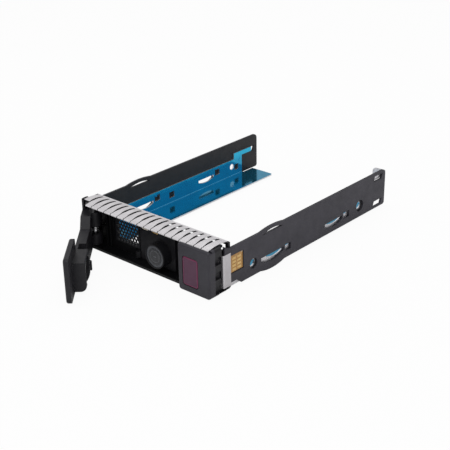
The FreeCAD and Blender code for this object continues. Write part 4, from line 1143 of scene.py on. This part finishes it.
@dataclass(frozen=True)
class Lamp:
    """Soft square lamp that faces the caddy, in metres and watts.

    Attributes:
        name: Name of the lamp.
        place: Where it hangs.
        size: Side of its square.
        power: Its power.
        target: Point that it faces.
    """

    name: str
    place: Point
    size: float
    power: float
    target: Point = (0.0, 0.06, 0.01)

    def build(self) -> None:
        """Hang the lamp."""
        data = bpy.data.lights.new(self.name, "AREA")
        data.size = self.size
        data.energy = self.power
        lamp = show(self.name, data)
        lamp.location = self.place
        aim = Vector(self.target) - Vector(self.place)
        lamp.rotation_euler = aim.to_track_quat("-Z", "Y").to_euler()


@dataclass(frozen=True)
class Studio:
    """White floor, white surroundings and soft lamps.

    Attributes:
        floor_size: Side of the floor.
        floor_gap: Gap under the caddy.
        floor_tone: Tone of the floor under the lamps.
        floor_roughness: Roughness of the floor.
        floor_glow: Share of even white in what the camera sees of it.
        sky_light: Level at which the surroundings light the caddy.
        sky_seen: Level at which the camera sees them.
        lamps: Lamps that light the caddy.
    """

    floor_size: float = 60.0
    floor_gap: float = 0.05 * MM
    floor_tone: Colour = (0.9, 0.9, 0.9)
    floor_roughness: float = 0.9
    floor_glow: float = 0.94
    sky_light: float = 0.5
    sky_seen: float = 1.0
    lamps: tuple[Lamp, ...] = (
        Lamp("key_lamp", (0.35, -0.45, 0.75), 1.0, 3.2),
        Lamp("fill_lamp", (-0.75, -0.35, 0.45), 0.6, 0.6),
        Lamp("top_lamp", (-0.1, 0.35, 0.8), 0.9, 1.6),
    )

    def floor_material(self) -> bpy.types.Material:
        """White that keeps a soft shadow and can be looked through from below.

        Returns:
            The floor's material.
        """
        shader = Shader("floor_white")
        shader.set(Base_Color=(*self.floor_tone, 1.0), Roughness=self.floor_roughness,
                   Specular_IOR_Level=0.0)
        seen = shader.node("LightPath").outputs["Is Camera Ray"]
        glow = shader.node("Emission", Strength=1.0).outputs["Emission"]
        clear = shader.node("BsdfTransparent").outputs["BSDF"]
        below = shader.node("NewGeometry").outputs["Backfacing"]
        white = shader.blend(shader.calculate(Operation.MULTIPLY, seen, self.floor_glow),
                             shader.surface.outputs["BSDF"], glow)
        shader.cover(shader.blend(below, white, clear))
        return shader.material

    def floor(self) -> None:
        """Lay the floor just under the caddy."""
        work = bmesh.new()
        bmesh.ops.create_grid(work, x_segments=1, y_segments=1, size=self.floor_size / 2)
        bmesh.ops.translate(work, verts=work.verts, vec=(0, 0, -self.floor_gap))
        mesh = bpy.data.meshes.new("floor")
        work.to_mesh(mesh)
        work.free()
        mesh.materials.append(self.floor_material())
        floor = show("floor", mesh)

    def world(self) -> None:
        """White surroundings, dimmer for light than for the eye."""
        world = bpy.data.worlds.new("studio")
        bpy.context.scene.world = world
        world.use_nodes = True
        tree = world.node_tree
        back = tree.nodes["Background"]
        back.inputs["Color"].default_value = (1.0, 1.0, 1.0, 1.0)
        rays = tree.nodes.new("ShaderNodeLightPath")
        level = tree.nodes.new("ShaderNodeMapRange")
        level.inputs["To Min"].default_value = self.sky_light
        level.inputs["To Max"].default_value = self.sky_seen
        tree.links.new(rays.outputs["Is Camera Ray"], level.inputs["Value"])
        tree.links.new(level.outputs["Result"], back.inputs["Strength"])

    def build(self) -> None:
        """Set up floor, surroundings and lamps."""
        self.floor()
        self.world()
        for lamp in self.lamps:
            lamp.build()


@dataclass(frozen=True)
class Viewpoint:
    """Camera of the main view, in metres and degrees.

    Attributes:
        place: Where the camera stands.
        azimuth: Angle round to the right of the front that it looks from.
        elevation: Angle above level that it looks from.
        roll: Tilt about its own axis.
        focal_share: Focal length as a share of the sensor's width.
    """

    place: Point = (0.36972, -0.34026, 0.25747)
    azimuth: float = 41.88
    elevation: float = 24.64
    roll: float = -1.07
    focal_share: float = 2.2318

    def build(self) -> None:
        """Place the camera and make it the scene's own."""
        data = bpy.data.cameras.new("camera")
        data.lens = self.focal_share * data.sensor_width
        turn, rise = math.radians(self.azimuth), math.radians(self.elevation)
        back = Vector((math.sin(turn) * math.cos(rise), -math.cos(turn) * math.cos(rise),
                       math.sin(rise)))
        facing = (-back).to_track_quat("-Z", "Y").to_matrix()
        tilt = Matrix.Rotation(math.radians(self.roll), 3, "Z")
        camera = show("camera", data)
        camera.matrix_world = Matrix.Translation(self.place) @ (facing @ tilt).to_4x4()
        bpy.context.scene.camera = camera


def main() -> None:
    """Dress the caddy, then set up the studio and the camera."""
    logging.basicConfig(level=logging.INFO)
    bpy.context.scene.view_settings.view_transform = "Standard"
    finishes = Finishes()
    for part in (Bezel(), Lever(), Rails()):
        part.build(finishes)
        log.info("built %s", type(part).__name__)
    Studio().build()
    Viewpoint().build()


if __name__ == "__main__":
    main()
